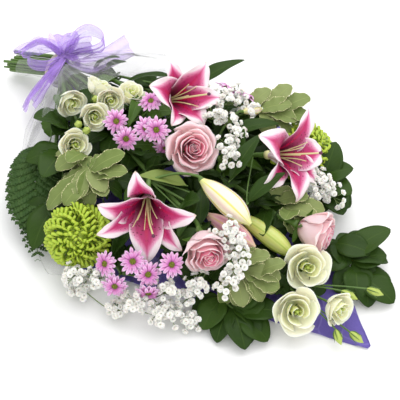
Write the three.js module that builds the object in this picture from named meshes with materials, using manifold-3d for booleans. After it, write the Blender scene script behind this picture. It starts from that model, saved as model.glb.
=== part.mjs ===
// Mixed flower bouquet, tied, wrapped and laid down. Millimetres.
// +X runs from the tied stems to the flower tips, +Y to the bouquet's right, +Z up; z = 0 is the surface.
import * as THREE from "three";
import { mergeVertices } from "three/addons/utils/BufferGeometryUtils.js";
import Module from "manifold-3d";

const wasm = await Module();
wasm.setup();
const { Manifold, Mesh } = wasm;

// ---- Driving dimensions ----
const GAP = 0.3; // clearance between neighbouring pieces
const SHEET = 0.8; // thickness of film, tissue and ribbon as modelled
const TIE_X = [-303, -283]; // stretch gripped by the string and the ribbon
const TIE_HEIGHT = 51; // middle of the bundle of stems at the tie
const BUNDLE_REACH = 18; // radius that the stems fill at the tie
const FILM_RADIUS = 22.6; // film round the bundle
const CUT = { x: -376, y: -30, z: 29 }; // middle of the cut stem ends

// Broad and narrow petals by half their width; filaments and style by how far they reach and lean out.
const LILY = { broad: 17.5, narrow: 13.5, thick: 1.1, throat: 5.5, filament: [60, 0.2], style: [76, 0.3] };
const LILY_BUD = { ribs: 6 };
const ROSE = { reach: 33, depth: 44, sepals: { reach: 25, half: 3.6, droop: 14, thick: 0.9 } };
const LISIANTHUS = { reach: 29, depth: 34 };
const SPRAY_DAISY = { reach: 16.5, disc: 4.2, petals: 10 };
const GREEN_MUM = { reach: 46, core: 25, flat: 0.85 }; // flat: depth of the head over its width
const FLORET = 3.6; // radius of one gypsophila flower
const FLORETS_A_STAR = 4; // flowers at the end of one gypsophila twig
const TWIG = 0.7; // radius of a gypsophila twig
const NODE_OF_TWIG = 1.6; // swelling that a gypsophila twig's flowers spring from
const BLOOM_SIDES = 15; // points round a rose or lisianthus

// ---- Small tools ----
const rad = THREE.MathUtils.degToRad;
const lerp = THREE.MathUtils.lerp;
const clamp = THREE.MathUtils.clamp;
const V = (x, y, z) => new THREE.Vector3(x, y, z);
const at = ([x, y, z]) => V(x, y, z);
const range = (n) => [...Array(n).keys()];

function seeded(seed) {
  let state = seed;
  return () => {
    state = (state * 16807) % 2147483647;
    return state / 2147483647;
  };
}

// The direction that a bloom looks in, from a compass angle (0 = +X, 90 = +Y) and an elevation.
function looking([azimuth, elevation]) {
  const flat = Math.cos(rad(elevation));
  return V(flat * Math.cos(rad(azimuth)), flat * Math.sin(rad(azimuth)), Math.sin(rad(elevation)));
}

// Local frame of a bloom: +Z out of its mouth, +Y as far up as that allows.
function bloomFrame(place, face, spin = 0) {
  const out = looking(face);
  const side = V(-out.y, out.x, 0).normalize();
  const up = out.clone().cross(side);
  return new THREE.Matrix4()
    .makeBasis(side, up, out)
    .setPosition(at(place))
    .multiply(new THREE.Matrix4().makeRotationZ(rad(spin)));
}

// Local frame of a leaf: +X from base to tip, +Z near the given upward hint.
function leafFrame(base, tip, hint = V(0, 0, 1), roll = 0) {
  const along = tip.clone().sub(base).normalize();
  const across = hint.clone().cross(along).normalize();
  const up = along.clone().cross(across);
  return new THREE.Matrix4()
    .makeBasis(along, across, up)
    .setPosition(base)
    .multiply(new THREE.Matrix4().makeRotationX(rad(roll)));
}

// ---- Solids ----
function solidFrom(points, faces) {
  let volume = 0;
  for (const [a, b, c] of faces) volume += points[a].dot(points[b].clone().cross(points[c]));
  const turned = volume < 0 ? faces.map(([a, b, c]) => [a, c, b]) : faces;
  return new Manifold(
    new Mesh({
      numProp: 3,
      vertProperties: new Float32Array(points.flatMap((p) => [p.x, p.y, p.z])),
      triVerts: new Uint32Array(turned.flat()),
    }),
  );
}

// The same after joining points that fall together.
function fromFaces(points, faces) {
  const geometry = new THREE.BufferGeometry().setFromPoints(points).setIndex(faces.flat());
  return fromGeometry(geometry);
}

function fromGeometry(geometry, frame = new THREE.Matrix4()) {
  const bare = new THREE.BufferGeometry().setAttribute("position", geometry.getAttribute("position"));
  if (geometry.index) bare.setIndex(geometry.index);
  const merged = mergeVertices(bare.applyMatrix4(frame), 1e-3);
  const place = merged.getAttribute("position");
  const points = range(place.count).map((i) => new THREE.Vector3().fromBufferAttribute(place, i));
  const index = merged.index.array;
  const faces = range(index.length / 3)
    .map((i) => [index[3 * i], index[3 * i + 1], index[3 * i + 2]])
    .filter(([a, b, c]) => a !== b && b !== c && c !== a);
  return solidFrom(points, faces);
}

// Closed solid between two faces of a grid of points; both faces are split along the same diagonals.
function sheetSolid(grid, thick = SHEET) {
  const rows = grid.length;
  const columns = grid[0].length;
  const spot = (i, j) => grid[clamp(i, 0, rows - 1)][clamp(j, 0, columns - 1)];
  const points = [];
  for (const side of [0.5, -0.5])
    for (let i = 0; i < rows; i++)
      for (let j = 0; j < columns; j++) {
        const down = spot(i + 1, j).clone().sub(spot(i - 1, j));
        const along = spot(i, j + 1).clone().sub(spot(i, j - 1));
        points.push(spot(i, j).clone().addScaledVector(down.cross(along).normalize(), side * thick));
      }
  const top = (i, j) => i * columns + j;
  const under = (i, j) => rows * columns + top(i, j);
  const faces = [];
  const quad = (a, b, c, d) => faces.push([a, b, c], [a, c, d]);
  for (let i = 0; i < rows - 1; i++)
    for (let j = 0; j < columns - 1; j++) {
      quad(top(i, j), top(i, j + 1), top(i + 1, j + 1), top(i + 1, j));
      faces.push([under(i, j), under(i + 1, j + 1), under(i, j + 1)]);
      faces.push([under(i, j), under(i + 1, j), under(i + 1, j + 1)]);
    }
  for (let i = 0; i < rows - 1; i++) {
    quad(top(i, 0), top(i + 1, 0), under(i + 1, 0), under(i, 0));
    const j = columns - 1;
    quad(top(i + 1, j), top(i, j), under(i, j), under(i + 1, j));
  }
  for (let j = 0; j < columns - 1; j++) {
    quad(top(0, j + 1), top(0, j), under(0, j), under(0, j + 1));
    const i = rows - 1;
    quad(top(i, j), top(i, j + 1), under(i, j + 1), under(i, j));
  }
  return solidFrom(points, faces);
}

// Half width of a leaf or petal along its length, fullest at the share `peak`.
const belly = (t, peak, blunt = 0.8) => Math.sin(Math.PI * t ** (Math.log(0.5) / Math.log(peak))) ** blunt;

// Midrib that leaves the root at one heading and ends at another, in degrees from the local +Z axis.
function curledRib({ length, from, to, root, shares }) {
  const FINE = 40;
  let [x, z] = root;
  const trace = [{ x, z, heading: rad(from) }];
  for (let k = 0; k < FINE; k++) {
    const heading = rad(lerp(from, to, (k + 0.5) / FINE));
    x += (Math.sin(heading) * length) / FINE;
    z += (Math.cos(heading) * length) / FINE;
    trace.push({ x, z, heading });
  }
  return shares.map((t) => {
    const spot = trace[Math.round(t * FINE)];
    return { t, x: spot.x, z: spot.z, nx: -Math.cos(spot.heading), nz: Math.sin(spot.heading) };
  });
}

// Midrib that arches up by `rise` between a base at the origin and a tip on the local +X axis.
function archedRib({ span, rise, shares }) {
  return shares.map((t) => {
    const slope = (rise * 4 * (1 - 2 * t)) / span;
    const long = Math.hypot(1, slope);
    return { t, x: t * span, z: rise * 4 * t * (1 - t), nx: -slope / long, nz: 1 / long };
  });
}

// Blade over a midrib, ridged along its middle: the edges close to a line, the tip to a point.
// `cup` is the angle that each half turns through and `wave` how far the margin rises and falls.
function blade(rib, { half, thick, outline, cup, wave = 0, root }) {
  const columns = 1;
  const points = [];
  const faces = [];
  const turn = Math.max(cup, 1e-3);
  const spot = (station, width, v, lift) => {
    const off = (width * (1 - Math.cos(turn * v))) / turn + lift;
    return V(station.x + station.nx * off, (width * Math.sin(turn * v)) / turn, station.z + station.nz * off);
  };
  const count = 2 + 2 * columns;
  const body = rib.slice(0, -1);
  body.forEach((station, k) => {
    const width = Math.max(root, half * outline(station.t));
    const ripple = k ? wave * (k % 2 ? 1 : -1) : 0;
    const across = range(columns).map((j) => lerp(-1, 1, (j + 1) / (columns + 1)));
    points.push(spot(station, width, -1, ripple));
    for (const v of across) points.push(spot(station, width, v, ripple * v * v + thick / 2));
    points.push(spot(station, width, 1, ripple));
    for (const v of across.reverse()) points.push(spot(station, width, v, ripple * v * v - thick / 2));
  });
  for (let k = 0; k < body.length - 1; k++)
    for (let i = 0; i < count; i++) {
      const [a, b] = [k * count + i, k * count + ((i + 1) % count)];
      const [c, d] = [b + count, a + count];
      if (i <= columns) faces.push([a, b, c], [a, c, d]);
      else faces.push([a, b, d], [b, c, d]);
    }
  const last = (body.length - 1) * count;
  const end = rib[rib.length - 1];
  points.push(V(end.x, 0, end.z));
  for (let i = 0; i < count; i++) faces.push([last + i, last + ((i + 1) % count), points.length - 1]);
  const facing = (j) => 2 * columns + 2 - j; // the point under top point j
  faces.push([1, 0, facing(1)], [columns + 1, columns, columns + 2]);
  for (let j = 1; j < columns; j++) faces.push([j + 1, j, facing(j)], [j + 1, facing(j), facing(j + 1)]);
  return solidFrom(points, faces);
}

const put = (solid, frame) => solid.transform(frame.elements);
const turned = (degrees) => new THREE.Matrix4().makeRotationZ(rad(degrees));

// Path that runs straight from point to point, so that a tube's rings fall exactly on the points.
class Route extends THREE.Curve {
  constructor(points) {
    super();
    this.points = points;
  }
  getPoint(t) {
    const last = this.points.length - 1;
    const k = Math.min(Math.floor(clamp(t, 0, 1) * last), last - 1);
    return this.points[k].clone().lerp(this.points[k + 1], clamp(t, 0, 1) * last - k);
  }
  getPointAt(t) {
    return this.getPoint(t);
  }
  getTangentAt(t) {
    return this.getTangent(t);
  }
  getSpacedPoints(count) {
    return this.getPoints(count);
  }
}

// Round stalk of few sides through the points.
function stalk(points, radius, sides = 4) {
  const ring = range(sides).map((i) => {
    const angle = (2 * Math.PI * (i + 0.5)) / sides;
    return new THREE.Vector2(radius * Math.cos(angle), radius * Math.sin(angle));
  });
  const options = { steps: points.length - 1, extrudePath: new Route(points), bevelEnabled: false };
  return fromGeometry(new THREE.ExtrudeGeometry(new THREE.Shape(ring), options));
}

// Grows a round stalk out of a ring of points: a ring of the same count at each point of the route.
function sprout(points, faces, base, route, radii) {
  let from = base;
  let behind = base.reduce((sum, i) => sum.add(points[i]), V(0, 0, 0)).divideScalar(base.length);
  const side = points[base[0]].clone().sub(behind);
  route.forEach((spot, k) => {
    const ahead = (route[k + 1] ?? spot).clone().sub(behind).normalize();
    side.addScaledVector(ahead, -side.dot(ahead)).normalize();
    const ring = base.map((_, i) => {
      const spoke = side.clone().applyAxisAngle(ahead, (2 * Math.PI * i) / base.length);
      return points.push(spot.clone().addScaledVector(spoke, radii[k])) - 1;
    });
    for (const i of range(ring.length)) {
      const j = (i + 1) % ring.length;
      faces.push([from[i], from[j], ring[j]], [from[i], ring[j], ring[i]]);
    }
    from = ring;
    behind = spot;
  });
  for (const i of range(from.length - 2)) faces.push([from[0], from[i + 1], from[i + 2]]);
}

// Stalk with a radius for each point of its route. The sides of its last stretch may be drawn out into
// sepals: reach is how far they stand out, droop how far they fall behind the stalk's end.
function growth(route, radii, sides = 3, sepals = null) {
  const ahead = route[1].clone().sub(route[0]).normalize();
  const side = (Math.abs(ahead.z) < 0.9 ? V(0, 0, 1) : V(1, 0, 0)).cross(ahead).normalize();
  const points = range(sides).map((i) =>
    route[0].clone().addScaledVector(side.clone().applyAxisAngle(ahead, (2 * Math.PI * i) / sides), radii[0]),
  );
  const faces = range(sides - 2).map((i) => [0, i + 2, i + 1]);
  sprout(points, faces, range(sides), route.slice(1), radii.slice(1));
  if (sepals) drawSepals(points, faces, route, sides, sepals);
  return solidFrom(points, faces);
}

function drawSepals(points, faces, route, sides, { reach, half, droop, thick }) {
  const cap = sides - 2;
  faces.splice(faces.length - cap - 2 * sides, 2 * sides);
  const high = points.length - sides;
  const low = high - sides;
  const seat = route[route.length - 1];
  const back = route[route.length - 2].clone().sub(seat).normalize();
  range(sides).forEach((i) => {
    const j = (i + 1) % sides;
    const out = points[high + i].clone().add(points[high + j]).divideScalar(2).sub(seat).normalize();
    const across = points[high + j].clone().sub(points[high + i]).normalize();
    const middle = seat.clone().addScaledVector(out, reach * 0.5).addScaledVector(back, 4);
    const corner = (v, w) =>
      middle.clone().addScaledVector(across, v * half).addScaledVector(back, w * thick);
    const ring = [corner(-1, 1), corner(1, 1), corner(1, 0), corner(-1, 0)].map((p) => points.push(p) - 1);
    const tip = points.push(seat.clone().addScaledVector(out, reach).addScaledVector(back, droop)) - 1;
    const root = [low + i, low + j, high + j, high + i];
    for (const k of range(4)) {
      const n = (k + 1) % 4;
      faces.push([root[k], root[n], ring[n]], [root[k], ring[n], ring[k]], [ring[k], ring[n], tip]);
    }
  });
}

// Solid of revolution about local +Z; the profile is [radius, height] pairs from axis to axis.
function turnedBody(profile, sides, frame) {
  const outline = profile.map(([r, h]) => new THREE.Vector2(r, h));
  const upright = new THREE.Matrix4().makeRotationX(Math.PI / 2);
  return fromGeometry(new THREE.LatheGeometry(outline, sides), frame.clone().multiply(upright));
}

// ---- Clearance between pieces ----
const placed = [];

function boxesMeet(a, b, reach) {
  return range(3).every((k) => a.min[k] < b.max[k] + reach && b.min[k] < a.max[k] + reach);
}

function neighboursOf(solid, owner) {
  const box = solid.boundingBox();
  return placed.filter((other) => other.owner !== owner && boxesMeet(box, other.box, GAP));
}

const isClear = (solid, owner) =>
  neighboursOf(solid, owner).every((other) => solid.minGap(other.solid, GAP + 0.1) > GAP - 0.02);

function keep(owner, solid) {
  placed.push({ owner, solid, box: solid.boundingBox() });
  return solid;
}

// Leaves and heads of one stem are kept apart too, but for the foot of each, which is in the stem.
const probes = [];

function clearOfSisters(owner, probe) {
  const box = probe.boundingBox();
  const sisters = probes.filter((other) => other.owner === owner && boxesMeet(box, other.box, GAP));
  if (sisters.some((other) => probe.minGap(other.solid, GAP) < 0.1)) return false;
  probes.push({ owner, solid: probe, box });
  return true;
}

// Keeps the first of the candidate shapes that lies clear of every other piece, or none of them.
function settle(owner, shapes) {
  for (const shape of shapes) {
    const made = shape();
    const { solid, probe } = made.probe ? made : { solid: made };
    if (isClear(solid, owner) && (!probe || clearOfSisters(owner, probe))) return keep(owner, solid);
  }
  return null;
}

// ---- What the bouquet holds: places and the way each bloom looks ----
// Petal angles run round the mouth from the level direction, broad and narrow petals in turn.
const LILIES = [
  { place: [-93, 30, 112], face: [12, 39], long: 88, from: 10, to: 98, petals: [20, 68, 130, 192, 262, 318] },
  { place: [14, -96, 112], face: [-44, 10], long: 96, from: 14, to: 86, petals: [11, 99, 155, 200, 270, 318] },
  { place: [65, 71, 100], face: [19, 29], long: 94, from: 8, to: 138, petals: [322, 27, 120, 178, 236, 280] },
];
const LILY_BUDS = [
  { base: [50, -36, 120], tip: [138, -31, 104], girth: 17, stem: 1, colour: "#efe6c0" },
  { base: [95, -10, 68], tip: [185, 5, 50], girth: 14.5, stem: 2, colour: "#b9c94a" },
  { base: [69, -45, 75], tip: [146, -29, 63], girth: 14, stem: 1, colour: "#e3a9b4" },
  { base: [-7, 93, 112], tip: [3, 121, 106], girth: 8, stem: 2, colour: "#dfe08a" },
];
const ROSES = [
  { place: [14, -14, 135], face: [-24, 49], open: 1 },
  { place: [136, -100, 92], face: [-28, 7], open: 0.62 },
  { place: [198, 54, 62], face: [21, -2], open: 0.55 },
];
const LISIANTHUSES = [
  { place: [-178, -13, 118], face: [92, 47], stem: 0, size: 0.7 },
  { place: [-136, 6, 120], face: [60, 76], stem: 0, size: 0.72 },
  { place: [-130, -36, 128], face: [-33, 26], stem: 0, size: 0.66 },
  { place: [-172, -68, 110], face: [-13, 7], stem: 1, size: 0.72 },
  { place: [-126, -67, 122], face: [-25, 34], stem: 1, size: 0.68 },
  { place: [-115, -110, 108], face: [-18, 40], stem: 1, size: 0.74 },
  { place: [217, -2, 64], face: [-28, 47], stem: 2, size: 1.04 },
  { place: [250, -54, 50], face: [-32, 43], stem: 2, size: 1.02 },
  { place: [284, -6, 42], face: [-2, 18], stem: 2, size: 0.78 },
];
const GREEN_MUMS = [
  { place: [-23, -187, 62], face: [-37, 39] },
  { place: [69, 137, 60], face: [-3, 50] },
];

// ---- Nodes ----
const parts = new Map(); // node name -> its solids, look and frame

function add(owner, look, solid, frame = null) {
  if (!parts.has(owner)) parts.set(owner, { look, frame, solids: [] });
  if (solid) parts.get(owner).solids.push(solid);
}

// ---- Film and tissue: flat on the surface under the flowers, curled round the stems at the tie ----
const bundleLine = (x) => {
  const t = clamp((TIE_X[0] - x) / (TIE_X[0] - CUT.x), 0, 1);
  return { y: CUT.y * t, z: lerp(TIE_HEIGHT, CUT.z, t) };
};
// At each x: half width of the flat, radius and turn of the curl at each side.
const WRAP = [
  { x: -352, flat: 0.6, curl: FILM_RADIUS, turn: 140 },
  { x: -328, flat: 0.6, curl: FILM_RADIUS, turn: 150 },
  { x: -303, flat: 0.6, curl: FILM_RADIUS, turn: 155 },
  { x: -283, flat: 0.6, curl: FILM_RADIUS, turn: 155 },
  { x: -255, flat: 24, curl: 40, turn: 125, lift: 8 },
  { x: -222, flat: 70, curl: 52, turn: 100, lift: 0 },
  { x: -180, flat: 115, curl: 52, turn: 70, lift: 0 },
  { x: -115, flat: 168, curl: 48, turn: 55, lift: 0 },
  { x: -40, flat: 214, curl: 40, turn: 25, lift: 0 },
  { x: 30, flat: 150, curl: 40, turn: 8, lift: 0 },
  { x: 85, flat: 118, curl: 40, turn: 4, lift: 0 },
];
const TISSUE = [
  { x: -303, half: 13 },
  { x: -283, half: 13 },
  { x: -255, half: 24 },
  { x: -222, half: 68 },
  { x: -180, half: 112 },
  { x: -115, half: 165 },
  { x: -40, half: 208 },
  { x: 30, half: 166 },
  { x: 85, half: 135 },
  { x: 118, half: 117 },
  { x: 222, half: 58 },
  { x: 326, half: 3 },
];
const BELOW_FILM = SHEET / 2;
const ABOVE_FILM = SHEET + GAP;

function wrapSpot(row, along, inset) {
  const tied = row.lift === undefined;
  const middle = bundleLine(row.x);
  const floor = tied ? middle.z - FILM_RADIUS : row.lift + BELOW_FILM;
  const shift = tied ? middle.y : 0;
  const curl = row.curl - inset;
  const past = Math.max(0, Math.abs(along) - row.flat) / curl;
  const side = Math.sign(along);
  const y = side * (Math.min(Math.abs(along), row.flat) + curl * Math.sin(past));
  return V(row.x, shift + y, floor + inset + curl * (1 - Math.cos(past)));
}

function filmWrap() {
  const CURL_STEPS = 4;
  const grid = WRAP.map((row) => {
    const half = [row.flat / 2, row.flat];
    const curled = rad(row.turn) * row.curl;
    for (const k of range(CURL_STEPS)) half.push(row.flat + (curled * (k + 1)) / CURL_STEPS);
    const sides = [...half.map((s) => -s).reverse(), ...half];
    return sides.map((s) => wrapSpot(row, s, 0));
  });
  return sheetSolid(grid);
}

function tissueSheet() {
  const TIED_INSET = 2.6;
  const grid = TISSUE.map(({ x, half }) => {
    const row = WRAP.find((other) => other.x === x);
    const sides = [-half, -half / 2, half / 2, half];
    if (!row) return sides.map((y) => V(x, y, BELOW_FILM));
    return sides.map((s) => wrapSpot(row, s, row.lift === undefined ? TIED_INSET : ABOVE_FILM));
  });
  return sheetSolid(grid);
}

// ---- Stems: slots in the tie, then spread to the blooms ----
const STEM_RADII = { lily: 3.2, rose: 3, lisianthus: 2.2, mum: 3, pink: 2, veil: 1.4, leafy: 1.8, fern: 1.6 };
const STATION = 44; // spacing of the points that hold a stem's route
const SAG = 5.5; // the bundle sinks towards the lower side of the wrap by this much, if it can
const TIED_ROOM = 0.7; // between stems at the tie
const STEM_ROOM = 1.2; // between stems past the tie
const stems = []; // name, radius, end: the points past the spread bundle, route: filled in by spread()

function stem(name, kind, end, radii) {
  const radius = STEM_RADII[kind];
  stems.push({ name, radius, end, ends: radii ?? end.map(() => radius) });
}

// Heavy blooms as balls that the stems pass round: middle and radius.
const balls = [];

const ROUNDS = 260; // steps in which the stems find room
const FIRM = 40; // last steps, in which they are no longer smoothed
const BETWEEN = [0, 0.25, 0.5, 0.75]; // shares of the way to the next station where distances are held
const GATHER = 0.005; // share of the way to the low middle of the tie that a stem moves in a step
const YIELD = 0.6; // share of its clearance that a stem regains in a step beside a heavy bloom

// Pushes two stems apart at a share of the way from station k to the next.
function pushApart(a, b, k, share) {
  const next = Math.min(k + 1, a.spots.length - 1, b.spots.length - 1);
  if (share > 0 && next === k) return;
  const between = (one, axis) => lerp(one.spots[k][axis], one.spots[next][axis], share);
  const [dy, dz] = ["y", "z"].map((axis) => between(a, axis) - between(b, axis));
  const apart = Math.hypot(dy, dz) || 0.01;
  const room = k === 0 ? TIED_ROOM : STEM_ROOM;
  const short = a.radius + b.radius + (k === 1 && share === 0 ? TIED_ROOM : room) - apart;
  if (short <= 0) return;
  for (const [one, way] of [[a, 0.5], [b, -0.5]]) {
    for (const [spot, weight] of [[one.spots[k], 1 - share], [one.spots[next], share]]) {
      spot.y += (dy / apart) * short * way * weight;
      spot.z += (dz / apart) * short * way * weight;
    }
  }
}

function spread() {
  const first = TIE_X[0];
  for (const one of stems) {
    const goal = one.end[0];
    const steps = Math.max(1, Math.floor((goal.x - 14 - TIE_X[1]) / STATION));
    one.route = [];
    one.stations = [first, TIE_X[1], ...range(steps - 1).map((k) => TIE_X[1] + (k + 1) * STATION)];
    const slope = clamp(goal.y / (goal.x - TIE_X[1]), -1, 1);
    const slot = { y: slope * 18, z: TIE_HEIGHT + (goal.z - 62) * 0.26 + goal.x * -0.012 };
    one.spots = one.stations.map((x) => {
      const t = clamp((x - TIE_X[1]) / (goal.x - TIE_X[1]), 0, 1);
      return { y: lerp(slot.y, goal.y, t), z: lerp(slot.z, goal.z, t ** 1.4) };
    });
  }
  for (let round = 0; round < ROUNDS; round++) {
    const most = Math.max(...stems.map((one) => one.stations.length));
    for (let k = 0; k < most; k++) {
      const here = stems.filter((one) => k < one.stations.length);
      for (const [i, a] of here.entries())
        for (const b of here.slice(i + 1)) for (const share of BETWEEN) pushApart(a, b, k, share);
      for (const one of here) {
        const p = one.spots[k];
        const x = one.stations[k];
        if (k < 2) {
          const out = Math.hypot(p.y, p.z - TIE_HEIGHT);
          const pull = Math.max(0, out + one.radius - BUNDLE_REACH) * 0.5;
          p.y -= (p.y / (out || 1)) * pull;
          p.z -= ((p.z - TIE_HEIGHT) / (out || 1)) * pull;
          p.y *= 1 - GATHER;
          p.z += (TIE_HEIGHT - SAG - p.z) * GATHER;
        }
        for (const ball of balls) {
          if (ball.owner === one.name) continue;
          const slice = ball.radius ** 2 - (x - ball.middle.x) ** 2;
          if (slice <= 0) continue;
          const clear = Math.sqrt(slice) + one.radius + 1;
          const [dy, dz] = [p.y - ball.middle.y, p.z - ball.middle.z];
          const out = Math.hypot(dy, dz) || 0.01;
          if (out >= clear) continue;
          const down = -YIELD * out;
          const long = Math.hypot(dy, dz + down);
          p.y += (dy / long) * (clear - out) * YIELD;
          p.z += ((dz + down) / long) * (clear - out) * YIELD;
        }
        if (k > 1) p.z = Math.max(p.z, one.radius + 3);
      }
    }
    if (round < ROUNDS - FIRM)
      for (const one of stems) {
        const old = one.spots.map((p) => ({ ...p }));
        const after = [...old, { y: one.end[0].y, z: one.end[0].z }];
        for (let k = 2; k < one.spots.length; k++) {
          one.spots[k].y += 0.25 * ((after[k - 1].y + after[k + 1].y) / 2 - old[k].y);
          one.spots[k].z += 0.25 * ((after[k - 1].z + after[k + 1].z) / 2 - old[k].z);
        }
      }
  }
  for (const one of stems) {
    const spots = one.stations.map((x, k) => V(x, one.spots[k].y, one.spots[k].z));
    const [y, z] = [one.spots[0].y, one.spots[0].z - TIE_HEIGHT];
    const ragged = CUT.x + 5 * Math.sin(7 * y + 3 * z);
    const handle = (x) => {
      const share = (TIE_X[0] - x) / (TIE_X[0] - CUT.x);
      return V(x, CUT.y * share + 1.14 * y, lerp(TIE_HEIGHT, CUT.z, share) + 1.08 * z);
    };
    const foot = handle(ragged);
    const bend = handle(TIE_X[0] - 20);
    const middle = spots[spots.length - 1].clone().lerp(one.end[0], 0.5);
    one.points = [foot, bend, ...spots, ...(spots.length < 3 ? [middle] : []), ...one.end];
  }
}

// ---- Blooms ----
// Heart of a lily: a cup whose floor is drawn out into six filaments and, in the last slice, the style.
function lilyHeart(owner, frame) {
  const SLICES = 8;
  const floor = V(0, 0, 11);
  const ring = (reach, z) =>
    range(SLICES).map((i) => V(reach, 0, z).applyAxisAngle(V(0, 0, 1), (2 * Math.PI * i) / SLICES));
  const points = [V(0, 0, 0), ...ring(LILY.throat, 0), ...ring(LILY.throat + 1, 9), floor];
  for (const point of points) point.applyMatrix4(frame);
  const top = points.length - 1;
  const faces = [];
  range(SLICES).forEach((i) => {
    const j = (i + 1) % SLICES;
    const [low, nextLow, high, nextHigh] = [1 + i, 1 + j, 1 + SLICES + i, 1 + SLICES + j];
    faces.push([0, nextLow, low], [low, nextLow, nextHigh], [low, nextHigh, high]);
    const slice = [top, high, nextHigh];
    if (i === SLICES - 1) return faces.push(slice);
    const style = i === SLICES - 2;
    const [reach, lean] = style ? LILY.style : LILY.filament;
    const way = turned((360 * (i + 0.5)) / SLICES);
    const place = (x, z) => V(x, 0, z).applyMatrix4(way).applyMatrix4(frame);
    const route = [place(4 + reach * lean * 0.4, reach * 0.5), place(4 + reach * lean, reach)];
    const clear = isClear(growth([place(4, 12), ...route], [1.2, 1.2, 1.2]), owner);
    if (clear) sprout(points, faces, slice, route, [1.1, 0.9]);
    else faces.push(slice);
  });
  return solidFrom(points, faces);
}

function lily(index) {
  const { place, face, long, from, to, petals } = LILIES[index];
  const owner = `lily_${index + 1}_petals`;
  const look = { color: "#d6568f", roughness: 0.55 };
  const frame = bloomFrame(place, face);
  add(owner, look, keep(owner, lilyHeart(owner, frame)), frame);
  petals.forEach((angle, k) => {
    const inner = k % 2 === 0;
    const half = inner ? LILY.broad : LILY.narrow;
    const petal = (ease) => {
      const rib = curledRib({
        length: long * (inner ? 1 : 0.97),
        from: from + (inner ? 0 : 7),
        to: to * ease + (inner ? 0 : 4),
        root: [LILY.throat - (inner ? 2.5 : 0.5), 2],
        shares: [0, 0.3, 0.62, 1],
      });
      const outline = (t) => belly(t, 0.5, 0.75);
      const solid = blade(rib, { half, thick: LILY.thick, outline, cup: inner ? 0.45 : 0.2, root: 2.6 });
      return put(solid, frame.clone().multiply(turned(angle)));
    };
    add(owner, look, settle(owner, [1, 0.88, 1.12, 0.75].map((ease) => () => petal(ease))));
  });
}

function lilyBud(index) {
  const { base, tip, girth, colour } = LILY_BUDS[index];
  const owner = `lily_bud_${index + 1}`;
  const long = at(tip).distanceTo(at(base));
  const sides = 2 * LILY_BUD.ribs;
  const rings = [0, 0.2, 0.6, 0.93];
  const fullness = [0.26, 0.7, 0.98, 0.42];
  const points = [];
  rings.forEach((t, k) =>
    range(sides).forEach((i) => {
      const reach = girth * fullness[k] * (i % 2 ? 0.9 : 1);
      const angle = (2 * Math.PI * i) / sides;
      points.push(V(t * long, reach * Math.cos(angle), reach * Math.sin(angle)));
    }),
  );
  points.push(V(0, 0, 0), V(long, 0, 0));
  const [foot, point] = [points.length - 2, points.length - 1];
  const faces = [];
  range(sides).forEach((i) => {
    const next = (i + 1) % sides;
    for (let k = 0; k < rings.length - 1; k++) {
      const [a, b] = [k * sides + i, k * sides + next];
      faces.push([a, b, b + sides], [a, b + sides, a + sides]);
    }
    const last = (rings.length - 1) * sides;
    faces.push([foot, next, i], [last + i, last + next, point]);
  });
  const frame = leafFrame(at(base), at(tip));
  add(owner, { color: colour, roughness: 0.5 }, keep(owner, put(solidFrom(points, faces), frame)), frame);
}

// Bloom of nested cups in one closed surface: from the base out to the widest rim, down between the
// layers and up again to the next rim, to the heart. Each rim has lobes, one to a petal.
function rosette(rings, around, frame, ease) {
  const points = [V(0, 0, 0), V(0, 0, rings[rings.length - 1].heart)];
  const faces = [];
  const outer = rings.filter((ring) => ring.rim);
  rings.slice(0, -1).forEach((ring, k) => {
    const spread = ring === outer[0] ? ease : 1;
    range(around).forEach((i) => {
      const angle = (2 * Math.PI * i) / around;
      const lobe = Math.abs(Math.cos((ring.lobes * (angle - rad(ring.phase ?? 0))) / 2)) ** 0.7;
      const dip = ring.rim ? 1 - lobe : 0;
      const reach = ring.r * spread * (1 - 0.2 * dip);
      points.push(V(reach * Math.cos(angle), reach * Math.sin(angle), ring.z - 6 * dip));
    });
    const row = 2 + k * around;
    range(around).forEach((i) => {
      const j = (i + 1) % around;
      if (k === 0) faces.push([0, row + j, row + i]);
      else faces.push([row - around + i, row - around + j, row + j], [row - around + i, row + j, row + i]);
      if (k === rings.length - 2) faces.push([row + i, row + j, 1]);
    });
  });
  return put(solidFrom(points, faces), frame);
}

const BLOOM_EASE = [1, 0.93, 0.86, 0.78, 0.7];

function rose(index) {
  const { place, face, open } = ROSES[index];
  const owner = `rose_${index + 1}_petals`;
  const depth = ROSE.depth;
  const sunk = new THREE.Matrix4().makeTranslation(0, 0, -depth);
  const frame = bloomFrame(place, face, 20 * index).multiply(sunk);
  const wide = ROSE.reach;
  const rings = [
    { r: 6.5, z: 0 },
    { r: lerp(20, 22, open), z: 9 },
    { r: lerp(25, 27, open), z: depth * 0.5 },
    { r: lerp(27, wide, open), z: lerp(depth - 8, depth - 12, open), rim: true, lobes: 5, phase: 0 },
    { r: lerp(21, 20, open), z: depth * 0.52 },
    { r: lerp(21, 24, open), z: depth - 3, rim: true, lobes: 5, phase: 36 },
    { r: 14, z: depth * 0.62 },
    { r: 15, z: depth + 1, rim: true, lobes: 3, phase: 10 },
    { r: 8, z: depth * 0.74 },
    { r: 7.5, z: depth + 2, rim: true, lobes: 3, phase: 60 },
    { heart: depth * 0.84 },
  ];
  const shapes = BLOOM_EASE.map((ease) => () => rosette(rings, BLOOM_SIDES, frame, ease));
  add(owner, { color: "#f0b3c3", roughness: 0.6 }, settle(owner, shapes), frame);
}

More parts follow.
